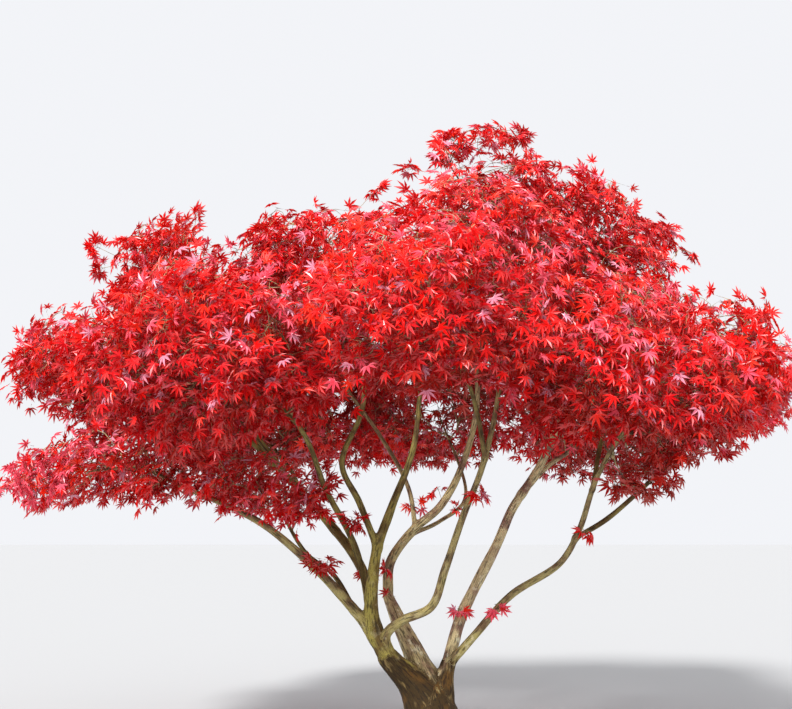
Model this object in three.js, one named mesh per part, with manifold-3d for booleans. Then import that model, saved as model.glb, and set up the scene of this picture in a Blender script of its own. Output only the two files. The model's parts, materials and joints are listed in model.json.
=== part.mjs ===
// A red Japanese maple: a low-forking tree with a short leaning trunk, long curved boughs and a wide,
// domed crown made of masses of foliage. Millimetres, +Z up. The origin is the middle of the flat cut
// under the trunk, at ground level. The side that faces -Y is the front.
import * as THREE from "three";
import { mergeVertices } from "three/addons/utils/BufferGeometryUtils.js";
import Module from "manifold-3d";

const wasm = await Module();
wasm.setup();

// Clearances
const GAP = 0.35; // between any two solids that meet
const CELL_GAP = 3; // between the spaces of neighbouring masses
const LEAF_CLEARANCE = 2; // between a limb and any twig or leaf of a mass
const TWIG_CLEARANCE = 1; // between the sprigs of one mass, except where one grows from another
const MERGE_WITHIN = 0.001;

// Trunk
const BOLE_RADIUS = 100;
const FOOT_FLARE = 0.7; // the foot is wider than the bole by this share
const FLARE_HEIGHT = 95;
const ROOT_LOBES = 5;
const LOBE_SHARE = 0.13; // how far the root lobes stand out, as a share of the bole's radius
const LOBE_TURN = 0.6;
const TRUNK_SIDES = 15;
const BOLE_FOOT = [0, 0, -20]; // cut off level at the ground
const BOLE_TOP = [-8, 2, 350];
const BOLE_CLOSING = 0.55; // how far the bole has narrowed at its top, inside the stems
const CLOSING_POWER = 4; // keeps that narrowing near the top
const BOLE_RINGS = 5;
const RING_CROWDING = 1.4; // puts the rings closer together near the foot
const STEM_SIDES = 9;
const TRUNK_STEP = 90;
const STEM_TAPER = 0.8;

// Each stem that the bole divides into: the points it leaves by, and its radius at the start and the end.
const STEMS = {
  left: { points: [[-8, -8, 180], [-95, -40, 330], [-215, -78, 470]], base: 84, tip: 50 },
  grey: { points: [[0, 10, 180], [-40, 25, 370], [-135, 75, 570], [-215, 145, 740]], base: 88, tip: 27 },
  right: { points: [[20, 0, 180], [55, 8, 310], [82, 20, 430]], base: 70, tip: 33 },
};

// Each bough: what it leaves, how far along that is, the points it curves through, its radius at the base
// and at its end inside the crown, how fast it thins, and the mass of foliage at its end.
const BOUGHS = {
  centre_bough: {
    from: "left", at: 1, base: 44, tip: 7, taper: 3, mass: "top_mass",
    through: [[-285, -120, 620], [-270, -165, 960], [-200, -175, 1170], [-90, -150, 1470],
      [-40, -90, 1900], [60, 0, 2400], [170, 40, 2860]],
  },
  back_bough: {
    from: "grey", at: 1, base: 27, tip: 8, taper: 1.1, mass: "upper_back_mass",
    through: [[-205, 190, 900], [-90, 270, 1060], [60, 360, 1190], [170, 440, 1380],
      [270, 540, 1760], [200, 620, 2450]],
  },
  right_bough: {
    from: "right", at: 1, base: 31, tip: 8, taper: 0.9, mass: "right_top_mass",
    through: [[150, 60, 650], [340, 160, 1000], [420, 200, 1170], [590, 240, 1430],
      [740, 210, 1840], [760, 90, 2460]],
  },
  left_low_bough: {
    from: "centre_bough", at: 0.045, base: 27, tip: 7, taper: 1.2, mass: "left_droop_mass",
    through: [[-430, -150, 760], [-600, -250, 940], [-820, -330, 1120], [-1190, -380, 1290],
      [-1380, -370, 1370], [-1620, -350, 1350]],
  },
  left_inner_bough: {
    from: "centre_bough", at: 0.055, base: 29, tip: 7, taper: 1.1, mass: "left_top_mass",
    through: [[-345, 60, 880], [-530, 180, 1120], [-870, 280, 1470], [-1230, 300, 1830],
      [-1370, 280, 2420]],
  },
  front_bough: {
    from: "centre_bough", at: 0.012, base: 24, tip: 7, taper: 1.2, mass: "upper_front_mass",
    through: [[-215, -150, 590], [-140, -210, 655], [-10, -260, 720], [55, -335, 900],
      [130, -420, 1130], [235, -510, 1420], [300, -600, 1860], [200, -590, 2330]],
  },
  right_low_bough: {
    from: "right", at: 0.93, base: 21, tip: 7, taper: 0.9, mass: "front_right_mass",
    through: [[200, -60, 560], [370, -180, 765], [590, -350, 930], [665, -440, 1080],
      [730, -610, 1330], [920, -900, 1700]],
  },
  left_rising_bough: {
    from: "left_inner_bough", at: 0.07, base: 18, tip: 7, taper: 1, mass: "front_left_mass",
    through: [[-375, -110, 1000], [-500, -330, 1260], [-620, -700, 1560], [-950, -930, 1800]],
  },
  centre_left_bough: {
    from: "centre_bough", at: 0.22, base: 17, tip: 7, taper: 1, mass: "hump_mass",
    through: [[-350, -240, 1210], [-430, -300, 1390], [-330, -290, 1680], [-440, -110, 2380]],
  },
  left_low_side_bough: {
    from: "left_low_bough", at: 0.1, base: 14, tip: 7, taper: 1, mass: "left_low_mass",
    through: [[-480, -70, 860], [-610, -80, 960], [-760, -210, 1230]],
  },
  left_outer_bough: {
    from: "left_inner_bough", at: 0.42, base: 15, tip: 7, taper: 1, mass: "left_tip_mass",
    through: [[-930, 150, 1580], [-1200, 20, 1730], [-1560, -90, 1860]],
  },
  left_back_bough: {
    from: "left_inner_bough", at: 0.26, base: 15, tip: 7, taper: 1, mass: "back_left_mass",
    through: [[-650, 400, 1230], [-780, 660, 1420], [-1040, 940, 1690]],
  },
  front_branch: {
    from: "front_bough", at: 0.55, base: 12, tip: 7, taper: 1, mass: "front_mass",
    through: [[180, -740, 1610], [110, -980, 1760], [0, -1210, 1960]],
  },
  back_left_bough: {
    from: "back_bough", at: 0.21, base: 13, tip: 7, taper: 1, mass: "back_left_upper_mass",
    through: [[-110, 430, 1290], [-260, 600, 1570], [-760, 720, 2240]],
  },
  back_low_bough: {
    from: "back_bough", at: 0.18, base: 12, tip: 7, taper: 1, mass: "back_mass",
    through: [[60, 430, 1110], [210, 680, 1240], [80, 1220, 1750]],
  },
  right_back_bough: {
    from: "right_bough", at: 0.42, base: 16, tip: 7, taper: 1, mass: "back_right_mass",
    through: [[620, 400, 1390], [800, 650, 1500], [970, 930, 1640]],
  },
  right_back_branch: {
    from: "right_bough", at: 0.56, base: 14, tip: 7, taper: 1, mass: "back_right_upper_mass",
    through: [[790, 400, 1790], [890, 680, 2180]],
  },
  right_branch: {
    from: "right_low_bough", at: 0.68, base: 11, tip: 7, taper: 1, mass: "right_mid_mass",
    through: [[780, -440, 1500], [900, -280, 1760], [1090, -120, 2180]],
  },
  right_reach_bough: {
    from: "right_low_bough", at: 0.53, base: 13, tip: 7, taper: 1, mass: "right_tip_mass",
    through: [[800, -400, 1130], [1030, -300, 1310], [1200, -200, 1450], [1340, -60, 1800]],
  },
};
const FINE_STEP = 20; // length between the points that a limb's line is worked out at
const BOUGH_STEP = 170; // length of limb for each ring of its faceted tube
const LEAST_RINGS = 3;
const NEARLY_UPRIGHT = 0.9; // a tube that starts steeper than this has its first corner towards +X, not +Z
const THICK_SIDES = 8;
const THIN_SIDES = 6;
const THIN_BELOW = 19; // a limb with a smaller base radius than this has fewer sides

// Each mass of foliage: the middle and half sizes of its space, how many sprays of leaves it holds, and
// the tips of the long shoots that stand out of it.
const MASSES = {
  top_mass: {
    centre: [310, 20, 2850], half: [470, 430, 350], sprays: 20,
    shoots: [[385, -20, 3110], [90, -40, 3060]],
  },
  hump_mass: { centre: [-540, -110, 2440], half: [590, 500, 400], sprays: 22 },
  upper_front_mass: { centre: [130, -620, 2360], half: [560, 460, 400], sprays: 19 },
  right_top_mass: { centre: [810, 60, 2680], half: [560, 500, 400], sprays: 22 },
  right_mid_mass: { centre: [1120, -130, 2140], half: [400, 480, 360], sprays: 14 },
  upper_back_mass: { centre: [90, 680, 2460], half: [580, 500, 400], sprays: 17 },
  back_left_upper_mass: { centre: [-790, 730, 2260], half: [580, 500, 400], sprays: 16 },
  back_right_upper_mass: { centre: [900, 740, 2200], half: [560, 500, 400], sprays: 16 },
  left_top_mass: { centre: [-1400, 230, 2420], half: [520, 480, 420], sprays: 20 },
  left_tip_mass: { centre: [-1650, -80, 1890], half: [560, 520, 340], sprays: 20 },
  left_droop_mass: { centre: [-1570, -350, 1310], half: [520, 400, 190], sprays: 12, flat: true },
  left_low_mass: { centre: [-760, -250, 1240], half: [460, 400, 190], sprays: 9, flat: true },
  front_left_mass: { centre: [-1010, -950, 1850], half: [640, 520, 440], sprays: 22 },
  front_mass: { centre: [0, -1200, 1990], half: [620, 470, 400], sprays: 19 },
  front_right_mass: { centre: [930, -950, 1790], half: [580, 520, 440], sprays: 21 },
  right_tip_mass: { centre: [1370, -60, 1800], half: [480, 560, 400], sprays: 19 },
  back_left_mass: { centre: [-1080, 960, 1720], half: [600, 530, 390], sprays: 16 },
  back_mass: { centre: [40, 1240, 1780], half: [640, 470, 400], sprays: 17 },
  back_right_mass: { centre: [1010, 960, 1670], half: [590, 520, 390], sprays: 16 },
};
const HEIGHT_WEIGHT = 1.3; // masses are flatter than wide, so height counts more in dividing their spaces

// Twigs and leaves. Each leaf here is larger than life and stands for a spray.
const LEAF_LENGTH = 240; // middle lobe of the largest leaf
const LEAF_SIZES = [1, 0.82, 0.66]; // shares of that which are tried
const LEAF_THICKNESS = 9; // at the middle of a leaf
const LOBES = [[0, 1], [46, 0.93], [98, 0.68]]; // turn from the middle lobe in degrees, share of its length
const NOTCH = 0.4; // depth of the notches between lobes, as a share of the length
const STALK_END = 0.16; // how far behind the middle of a leaf its base lies
const STALK_TIP = 3;
const STALK_LENGTH = 180; // from the bend of a twig to the middle of its leaf, at most
const STALK_SHARE = 0.6; // the same, as a share of the way from the fork
const SHARPEST_BEND = -0.1; // least cosine between the two parts of a twig
const TWIG_TIP = 5;
const TWIG_MOST = 9;
const THINNING = 0.62; // how much thinner than its parent a twig starts
const FORKS_BACK = [{ back: 0.22, nearEnd: true }, { back: 0.78, nearEnd: false }];
const LEAST_FACING = 0.3; // least cosine between a twig and the wall that it leaves
const DOOR_SHARE = 0.4; // half width of the start of a twig, as a share of the wall it leaves
const NEAREST_FORK = 0.6; // a leaf's middle keeps this share of its length away from the fork it grows from
const REACH_COST = 0.35; // how much a long way back to the bough counts against joining a twig there
const STEM_STEP = 140;
const STEM_FORK_USES = 2; // how many twigs may leave one fork of the stem
const STEM_TIP = 6;
const PULL_BACK = [1, 0.92, 0.84, 0.76, 0.68, 0.6]; // shares of the way out at which a spray is tried
const TRIES_PER_SPRAY = 4;
const SHOOT_SIZES = [0.55, 0.45]; // shares of the leaf's length tried at the end of a long shoot
const PLASTIC = 1.2207440846057596; // its powers step evenly through a box

// How leaves lie
const CROWN_MIDDLE = 1400; // height that the leaves face away from
const OUTWARD_RISE = 0.4; // how much being above that height counts as outward
const UPRIGHT = 0.5;
const FLAT_UPRIGHT = 1.5; // for the flat masses, whose leaves lie in a layer
const FACE_OUT = 0.6;
const LEAN = 1.4;
const POINT_ALONG = 0.75;
const POINT_OUT = 0.45;
const DROOP = 0.6;

const SEED = 1037;
const COLOURS = { bark: 0x6b5a48, leaves: 0xb3121c };

// Small vector helpers on plain arrays
const add = (a, b) => a.map((x, i) => x + b[i]);
const sub = (a, b) => a.map((x, i) => x - b[i]);
const scale = (a, s) => a.map((x) => x * s);
const dot = (a, b) => a[0] * b[0] + a[1] * b[1] + a[2] * b[2];
const cross = (a, b) => [a[1] * b[2] - a[2] * b[1], a[2] * b[0] - a[0] * b[2], a[0] * b[1] - a[1] * b[0]];
const length = (a) => Math.hypot(...a);
const unit = (a) => scale(a, 1 / Math.max(length(a), 1e-9));
const mix = (a, b, t) => add(scale(a, 1 - t), scale(b, t));

// A repeatable stream of numbers from 0 to 1
function randomStream(seed) {
  let state = seed >>> 0;
  return () => {
    state = (state + 0x6d2b79f5) >>> 0;
    let t = Math.imul(state ^ (state >>> 15), 1 | state);
    t = (t + Math.imul(t ^ (t >>> 7), 61 | t)) ^ t;
    return ((t ^ (t >>> 14)) >>> 0) / 4294967296;
  };
}

// Solids from triangles, and geometry from solids
function solidFrom(vertices, triangles) {
  return new wasm.Manifold(
    new wasm.Mesh({
      numProp: 3,
      vertProperties: new Float32Array(vertices.flat()),
      triVerts: new Uint32Array(triangles.flat()),
    }),
  );
}

function geometryFrom(solid) {
  const mesh = solid.getMesh();
  const positions = new Float32Array(mesh.numVert * 3);
  for (let i = 0; i < mesh.numVert; i++) {
    positions.set(mesh.vertProperties.subarray(i * mesh.numProp, i * mesh.numProp + 3), i * 3);
  }
  const geometry = new THREE.BufferGeometry();
  geometry.setAttribute("position", new THREE.BufferAttribute(positions, 3));
  geometry.setIndex(new THREE.BufferAttribute(mesh.triVerts, 1));
  const merged = mergeVertices(geometry, MERGE_WITHIN);
  merged.computeVertexNormals();
  return merged;
}

// A ring of points square to a direction, starting across it
function ringAround(point, along, across, radius, sides) {
  const side = cross(along, across);
  return Array.from({ length: sides }, (_, k) => {
    const angle = (2 * Math.PI * k) / sides;
    const r = typeof radius === "function" ? radius(angle) : radius;
    return add(point, add(scale(across, r * Math.cos(angle)), scale(side, r * Math.sin(angle))));
  });
}

// The triangles between two rings with the same number of corners, and those of a flat cap
const wall = (first, second) => first.flatMap((a, k) => {
  const next = (k + 1) % first.length;
  return [[a, first[next], second[next]], [a, second[next], second[k]]];
});
const cap = (ring) => ring.slice(2).map((_, k) => [ring[0], ring[k + 2], ring[k + 1]]);

// A closed tube whose rings lie square to a row of points. radiusAt gives the radius from the ring's
// number and the angle round it.
function tube(points, sides, radiusAt) {
  const last = points.length - 1;
  let across = null;
  const vertices = points.flatMap((point, i) => {
    const along = unit(sub(points[Math.min(i + 1, last)], points[Math.max(i - 1, 0)]));
    const start = across ?? (Math.abs(along[2]) > NEARLY_UPRIGHT ? [1, 0, 0] : [0, 0, 1]);
    across = unit(sub(start, scale(along, dot(start, along))));
    return ringAround(point, along, across, (angle) => radiusAt(i, angle), sides);
  });
  const rings = points.map((_, i) => Array.from({ length: sides }, (_, k) => i * sides + k));
  const walls = rings.slice(1).flatMap((ring, i) => wall(rings[i], ring));
  return solidFrom(vertices, [...cap(rings[0]), ...walls, ...cap([...rings[last]].reverse())]);
}

// A smooth line through points, as points spaced evenly along it
function smoothLine(points, step) {
  const curve = new THREE.CatmullRomCurve3(points.map((p) => new THREE.Vector3(...p)), false, "centripetal");
  const count = Math.max(2, Math.round(curve.getLength() / step));
  return curve.getSpacedPoints(count).map((p) => [p.x, p.y, p.z]);
}

// The same points with both ends moved out, so that a grown tube covers the flat ends of its original too
function lengthened(points, by) {
  const last = points.length - 1;
  const beyond = (end, next) => add(end, scale(unit(sub(end, next)), by));
  return [beyond(points[0], points[1]), ...points.slice(1, last), beyond(points[last], points[last - 1])];
}

function pointAlong(line, share) {
  const place = Math.min(share, 1) * (line.length - 1);
  const i = Math.min(Math.floor(place), line.length - 2);
  return mix(line[i], line[i + 1], place - i);
}

// The space of a mass is its ellipsoid, less what is nearer to a neighbour. Each such border is flat, so
// the space bulges everywhere, and a leaf or twig whose corners lie in it lies in it altogether.
const weighted = (p) => [p[0], p[1], p[2] * HEIGHT_WEIGHT];
for (const mass of Object.values(MASSES)) {
  mass.reach = (mass.half[0] + mass.half[1] + mass.half[2] * HEIGHT_WEIGHT) / 3;
}
function inSpace(name, p, margin = CELL_GAP) {
  const own = MASSES[name];
  const share = Math.hypot(...sub(p, own.centre).map((d, i) => d / own.half[i]));
  return share < 1 && inCell(name, p, margin);
}
function inCell(name, p, margin = CELL_GAP) {
  const own = MASSES[name];
  const here = length(sub(weighted(p), weighted(own.centre))) ** 2 - own.reach ** 2;
  return Object.entries(MASSES).every(([other, mass]) => {
    if (other === name) return true;
    const there = length(sub(weighted(p), weighted(mass.centre))) ** 2 - mass.reach ** 2;
    const apart = length(sub(weighted(own.centre), weighted(mass.centre)));
    return (there - here) / (2 * apart) > margin;
  });
}

// Trunk: a bole with a flared, lobed foot, divided into stems
function boleSolid(grow) {
  const points = Array.from({ length: BOLE_RINGS }, (_, i) =>
    mix(BOLE_FOOT, BOLE_TOP, (i / (BOLE_RINGS - 1)) ** RING_CROWDING));
  const radius = (i, angle) => {
    const fade = Math.exp(-Math.max(0, points[i][2]) / FLARE_HEIGHT);
    const lobe = LOBE_SHARE * Math.cos(ROOT_LOBES * angle + LOBE_TURN);
    const closing = BOLE_CLOSING * (points[i][2] / BOLE_TOP[2]) ** CLOSING_POWER;
    return BOLE_RADIUS * (1 + fade * (FOOT_FLARE + lobe) - closing) + grow;
  };
  return tube(points, TRUNK_SIDES, radius).trimByPlane([0, 0, 1], 0);
}

function stemSolid(stem, grow) {
  const last = stem.line.length - 1;
  return tube(lengthened(stem.line, grow), STEM_SIDES,
    (i) => stem.base + (stem.tip - stem.base) * (i / last) ** STEM_TAPER + grow);
}

const lines = {};
for (const [name, stem] of Object.entries(STEMS)) {
  stem.line = smoothLine(stem.points, TRUNK_STEP);
  lines[name] = stem.line;
}
const trunkPieces = (grow) => [boleSolid(grow), ...Object.values(STEMS).map((s) => stemSolid(s, grow))];
const trunk = wasm.Manifold.union(trunkPieces(0));
const trunkGrown = wasm.Manifold.union(trunkPieces(GAP));

// Boughs: each starts inside what it leaves, and ends where it enters its mass
const boughs = {};
const obstacles = [trunkGrown];
for (const [name, bough] of Object.entries(BOUGHS)) {
  const start = pointAlong(lines[bough.from], bough.at);
  const fine = smoothLine([start, ...bough.through], FINE_STEP);
  lines[name] = fine;
  const radiusAt = (share) => bough.tip + (bough.base - bough.tip) * (1 - share) ** bough.taper;
  const entry = fine.findIndex((p) => inSpace(bough.mass, p));
  const rings = Math.max(LEAST_RINGS, Math.round((entry * FINE_STEP) / BOUGH_STEP));
  const places = Array.from({ length: rings + 1 }, (_, i) => Math.round((entry * i) / rings));
  const sides = bough.base < THIN_BELOW ? THIN_SIDES : THICK_SIDES;
  const build = (grow) =>
    tube(lengthened(places.map((i) => fine[i]), grow), sides,
      (i) => radiusAt(places[i] / (fine.length - 1)) + grow);
  let solid = build(0);
  for (const other of obstacles) solid = solid.subtract(other);
  const pieces = solid.decompose().sort((a, b) => b.volume() - a.volume());
  boughs[name] = pieces[0];
  obstacles.push(build(GAP));
  bough.entry = entry;
  bough.endWay = unit(sub(fine[entry], fine[places[rings - 1]]));
  bough.entryRadius = radiusAt(entry / (fine.length - 1));
}

// A leaf is a flat star of five lobes with a raised middle on both sides. heading points along its middle
// lobe, face away from its upper side.
function leafCorners(middle, heading, face, size) {
  const left = cross(face, heading);
  const at = (degrees, share) => {
    const angle = THREE.MathUtils.degToRad(degrees);
    const along = scale(heading, size * share * Math.cos(angle));
    return add(middle, add(along, scale(left, size * share * Math.sin(angle))));
  };
  const half = (sign) => LOBES.flatMap(([turn, share], i) => {
    const next = LOBES[i + 1];
    const lobe = at(sign * turn, share);
    return next ? [lobe, at((sign * (turn + next[0])) / 2, NOTCH)] : [lobe];
  });
  return [...half(-1).reverse(), ...half(1).slice(1)];
}

// The leaf's triangles. Its base is a ring of three: an upper corner, one on the right and one on the left.
function leafTriangles([upper, right, left], outline, top, bottom) {
  const round = [right, ...outline, left];
  const fans = round.slice(1).flatMap((corner, i) => [[round[i], corner, top], [corner, round[i], bottom]]);
  return [...fans, [left, upper, top], [upper, right, top], [right, left, bottom]];
}

// The triangles that fill the space between a triangle and a smaller one in it, as numbers of corners: 0 to
// 2 are the outer ones and 3 to 5 the inner ones. Both go the same way round, seen from outside.
function frameAround(outer, inner) {
  const corners = [...outer, ...inner];
  const normalOf = ([a, b, c]) =>
    cross(sub(corners[b], corners[a]), sub(corners[c], corners[a]));
  const outwards = normalOf([0, 1, 2]);
  let best = null;
  const walk = (i, j, offset, made, least) => {
    if (least <= (best?.least ?? 0)) return;
    if (i === 3 && j === 3) {
      best = { made, least };
      return;
    }
    const here = i % 3;
    const there = 3 + ((j + offset) % 3);
    const steps = [];
    if (i < 3) steps.push([[here, (i + 1) % 3, there], i + 1, j]);
    if (j < 3) steps.push([[here, 3 + ((j + 1 + offset) % 3), there], i, j + 1]);
    for (const [triangle, nextI, nextJ] of steps) {
      walk(nextI, nextJ, offset, [...made, triangle], Math.min(least, dot(normalOf(triangle), outwards)));
    }
  };
  for (const offset of [0, 1, 2]) walk(0, 0, offset, [], Infinity);
  return best?.made;
}

const overlap = (a, b, gap) => [0, 1, 2].every((k) => a.min[k] < b.max[k] + gap && a.max[k] > b.min[k] - gap);
const comesNear = (piece, others, gap) => others.some((other) =>
  overlap(piece.box, other.box, gap) && piece.solid.minGap(other.solid, gap * 2) < gap);
const boxed = (solid) => ({ solid, box: solid.boundingBox() });
const limbs = [trunk, ...Object.values(boughs)].map(boxed);

// Even, seeded places for sprays: a low-discrepancy walk through the box round the mass
function sprayPlaces(mass, random, count) {
  const start = [random(), random(), random()];
  const places = [];
  for (let k = 1; places.length < count; k++) {
    const p = start.map((s, i) => 2 * ((s + k / PLASTIC ** (i + 1)) % 1) - 1);
    if (length(p) < 1) places.push(add(mass.centre, p.map((x, i) => x * mass.half[i])));
  }
  return places;
}

// A mesh that grows by rings of corners and lists of triangles
function emptyMesh() {
  const vertices = [];
  const faces = [];
  return {
    at: (i) => vertices[i],
    middle: (ring) => scale(ring.map((i) => vertices[i]).reduce(add), 1 / ring.length),
    addRing: (points) => points.map((p) => vertices.push(p) - 1),
    addFaces: (list) => list.map((face) => faces.push(face) - 1),
    face: (i) => faces[i],
    replace: (i, list) => {
      faces[i] = list[0];
      faces.push(...list.slice(1));
    },
    solid: () => solidFrom(vertices, faces),
  };
}

// The forks of a length of stem or twig are the places where later twigs may leave it. Each has a door in
// every side: one triangle of the wall, with the middle and the width of what the triangle has there.
function forksAlong(mesh, [firstRing, secondRing], walls, { way, span, radii, piece, uses }) {
  return FORKS_BACK.map(({ back, nearEnd }) => ({
    at: mix(mesh.middle(secondRing), mesh.middle(firstRing), back),
    way: way + span * (1 - back),
    radius: radii[1] + (radii[0] - radii[1]) * back,
    piece,
    uses,
    doors: firstRing.map((corner, k) => {
      const next = (k + 1) % firstRing.length;
      const [tip, left, right] = nearEnd
        ? [corner, secondRing[k], secondRing[next]]
        : [secondRing[next], corner, firstRing[next]];
      const [from, to] = [left, right].map((i) => mix(mesh.at(i), mesh.at(tip), nearEnd ? back : 1 - back));
      return {
        face: walls[2 * k + (nearEnd ? 1 : 0)],
        middle: mix(from, to, 0.5),
        width: length(sub(to, from)),
        chord: unit(sub(to, from)),
      };
    }),
  }));
}

// The fork that a leaf is joined to: near, and a short way from the bough
function chooseFork(forks, middle, size) {
  const cost = (fork) => {
    const gap = length(sub(middle, fork.at));
    return gap > size * NEAREST_FORK ? gap + REACH_COST * (fork.way + gap) : Infinity;
  };
  const best = forks.reduce((a, b) => (cost(b) < cost(a) ? b : a));
  return cost(best) < Infinity ? best : null;
}

// Which way a leaf points and faces: along its twig, outwards and drooping, with its own seeded lean
function aimLeaf(fork, middle, size, { flat, lean, droop }) {
  const outward = unit([middle[0], middle[1], (middle[2] - CROWN_MIDDLE) * OUTWARD_RISE]);
  const way = unit(sub(middle, fork.at));
  const upright = [0, 0, flat ? FLAT_UPRIGHT : UPRIGHT];
  const face = unit(add(upright, add(scale(outward, FACE_OUT), scale(lean, LEAN))));
  const wanted = add(scale(way, POINT_ALONG), add(scale(outward, POINT_OUT), [0, 0, -droop]));
  const heading = unit(sub(wanted, scale(face, dot(wanted, face))));
  const stalk = Math.min(STALK_LENGTH, length(sub(middle, fork.at)) * STALK_SHARE);
  return { middle, size, face, heading, bend: add(middle, scale(heading, -stalk)) };
}

// The door of a fork that faces the way to a point
function chooseDoor(mesh, fork, point) {
  const doors = fork.doors.map((door) => {
    const [p, q, r] = mesh.face(door.face).map(mesh.at);
    const normal = unit(cross(sub(q, p), sub(r, p)));
    return { ...door, normal, facing: dot(normal, unit(sub(point, door.middle))) };
  });
  return doors.reduce((a, b) => (b.facing > a.facing ? b : a));
}

// A sprig is a three-sided twig with one bend, and the leaf at its end. Its first ring is drawn back along
// the twig onto the wall that it leaves, and narrowed to fit the door.
function sprigRings(leaf, door, startRadius) {
  const first = unit(sub(leaf.bend, door.middle));
  const base = add(leaf.middle, scale(leaf.heading, -STALK_END * leaf.size));
  let across = leaf.face;
  const [leafRing, bendRing, startRing] = [
    [base, leaf.heading, STALK_TIP],
    [leaf.bend, unit(add(first, unit(sub(base, leaf.bend)))), TWIG_TIP],
    [door.middle, first, startRadius],
  ].map(([point, along, radius]) => {
    across = unit(sub(across, scale(along, dot(across, along))));
    return ringAround(point, along, across, radius, 3);
  });
  const upWall = cross(door.normal, door.chord);
  const onWall = startRing.map((corner) => {
    const offset = sub(corner, door.middle);
    const flat = sub(offset, scale(first, dot(offset, door.normal) / door.facing));
    return [dot(flat, door.chord), dot(flat, upWall)];
  });
  const widest = Math.max(...onWall.map(([u]) => Math.abs(u)));
  const fit = Math.min(1, (door.width * DOOR_SHARE) / widest);
  const doorway = onWall.map(([u, v]) =>
    add(door.middle, add(scale(door.chord, u * fit), scale(upWall, v * fit))));
  return { doorway, bendRing, leafRing };
}

// The twig and the leaf of a sprig as solids, for finding what they touch
function sprigPiece({ doorway, bendRing, leafRing }, corners, tips) {
  const outline = corners.map((_, i) => 6 + i);
  const top = 6 + corners.length;
  const twig = [...cap([0, 1, 2]), ...wall([0, 1, 2], [3, 4, 5]), ...cap([5, 4, 3])];
  const leaf = [...cap([0, 1, 2]), ...wall([0, 1, 2], [3, 4, 5]),
    ...leafTriangles([3, 4, 5], outline, top, top + 1)];
  return {
    twig: boxed(solidFrom([...doorway, ...bendRing], twig)),
    leaf: boxed(solidFrom([...bendRing, ...leafRing, ...corners, ...tips], leaf)),
  };
}

function clashes(piece, parent, stem, pieces) {
  const others = pieces.filter((other) => other !== parent).flatMap((other) => [other.twig, other.leaf]);
  if (parent.leaf) others.push(parent.leaf);
  if (parent.twig !== stem) others.push(stem);
  const touches = (part) =>
    comesNear(part, limbs, LEAF_CLEARANCE) || comesNear(part, others, TWIG_CLEARANCE);
  return touches(piece.twig) || touches(piece.leaf) || comesNear(piece.leaf, [parent.twig], TWIG_CLEARANCE);
}

// The stem of a mass goes on from the end of its bough, along the same line
function stemPoints(bough, fine) {
  const points = [add(fine[bough.entry], scale(bough.endWay, GAP))];
  const stride = Math.round(STEM_STEP / FINE_STEP);
  for (let i = bough.entry + stride; i < fine.length; i += stride) points.push(fine[i]);
  return points;
}

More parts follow.
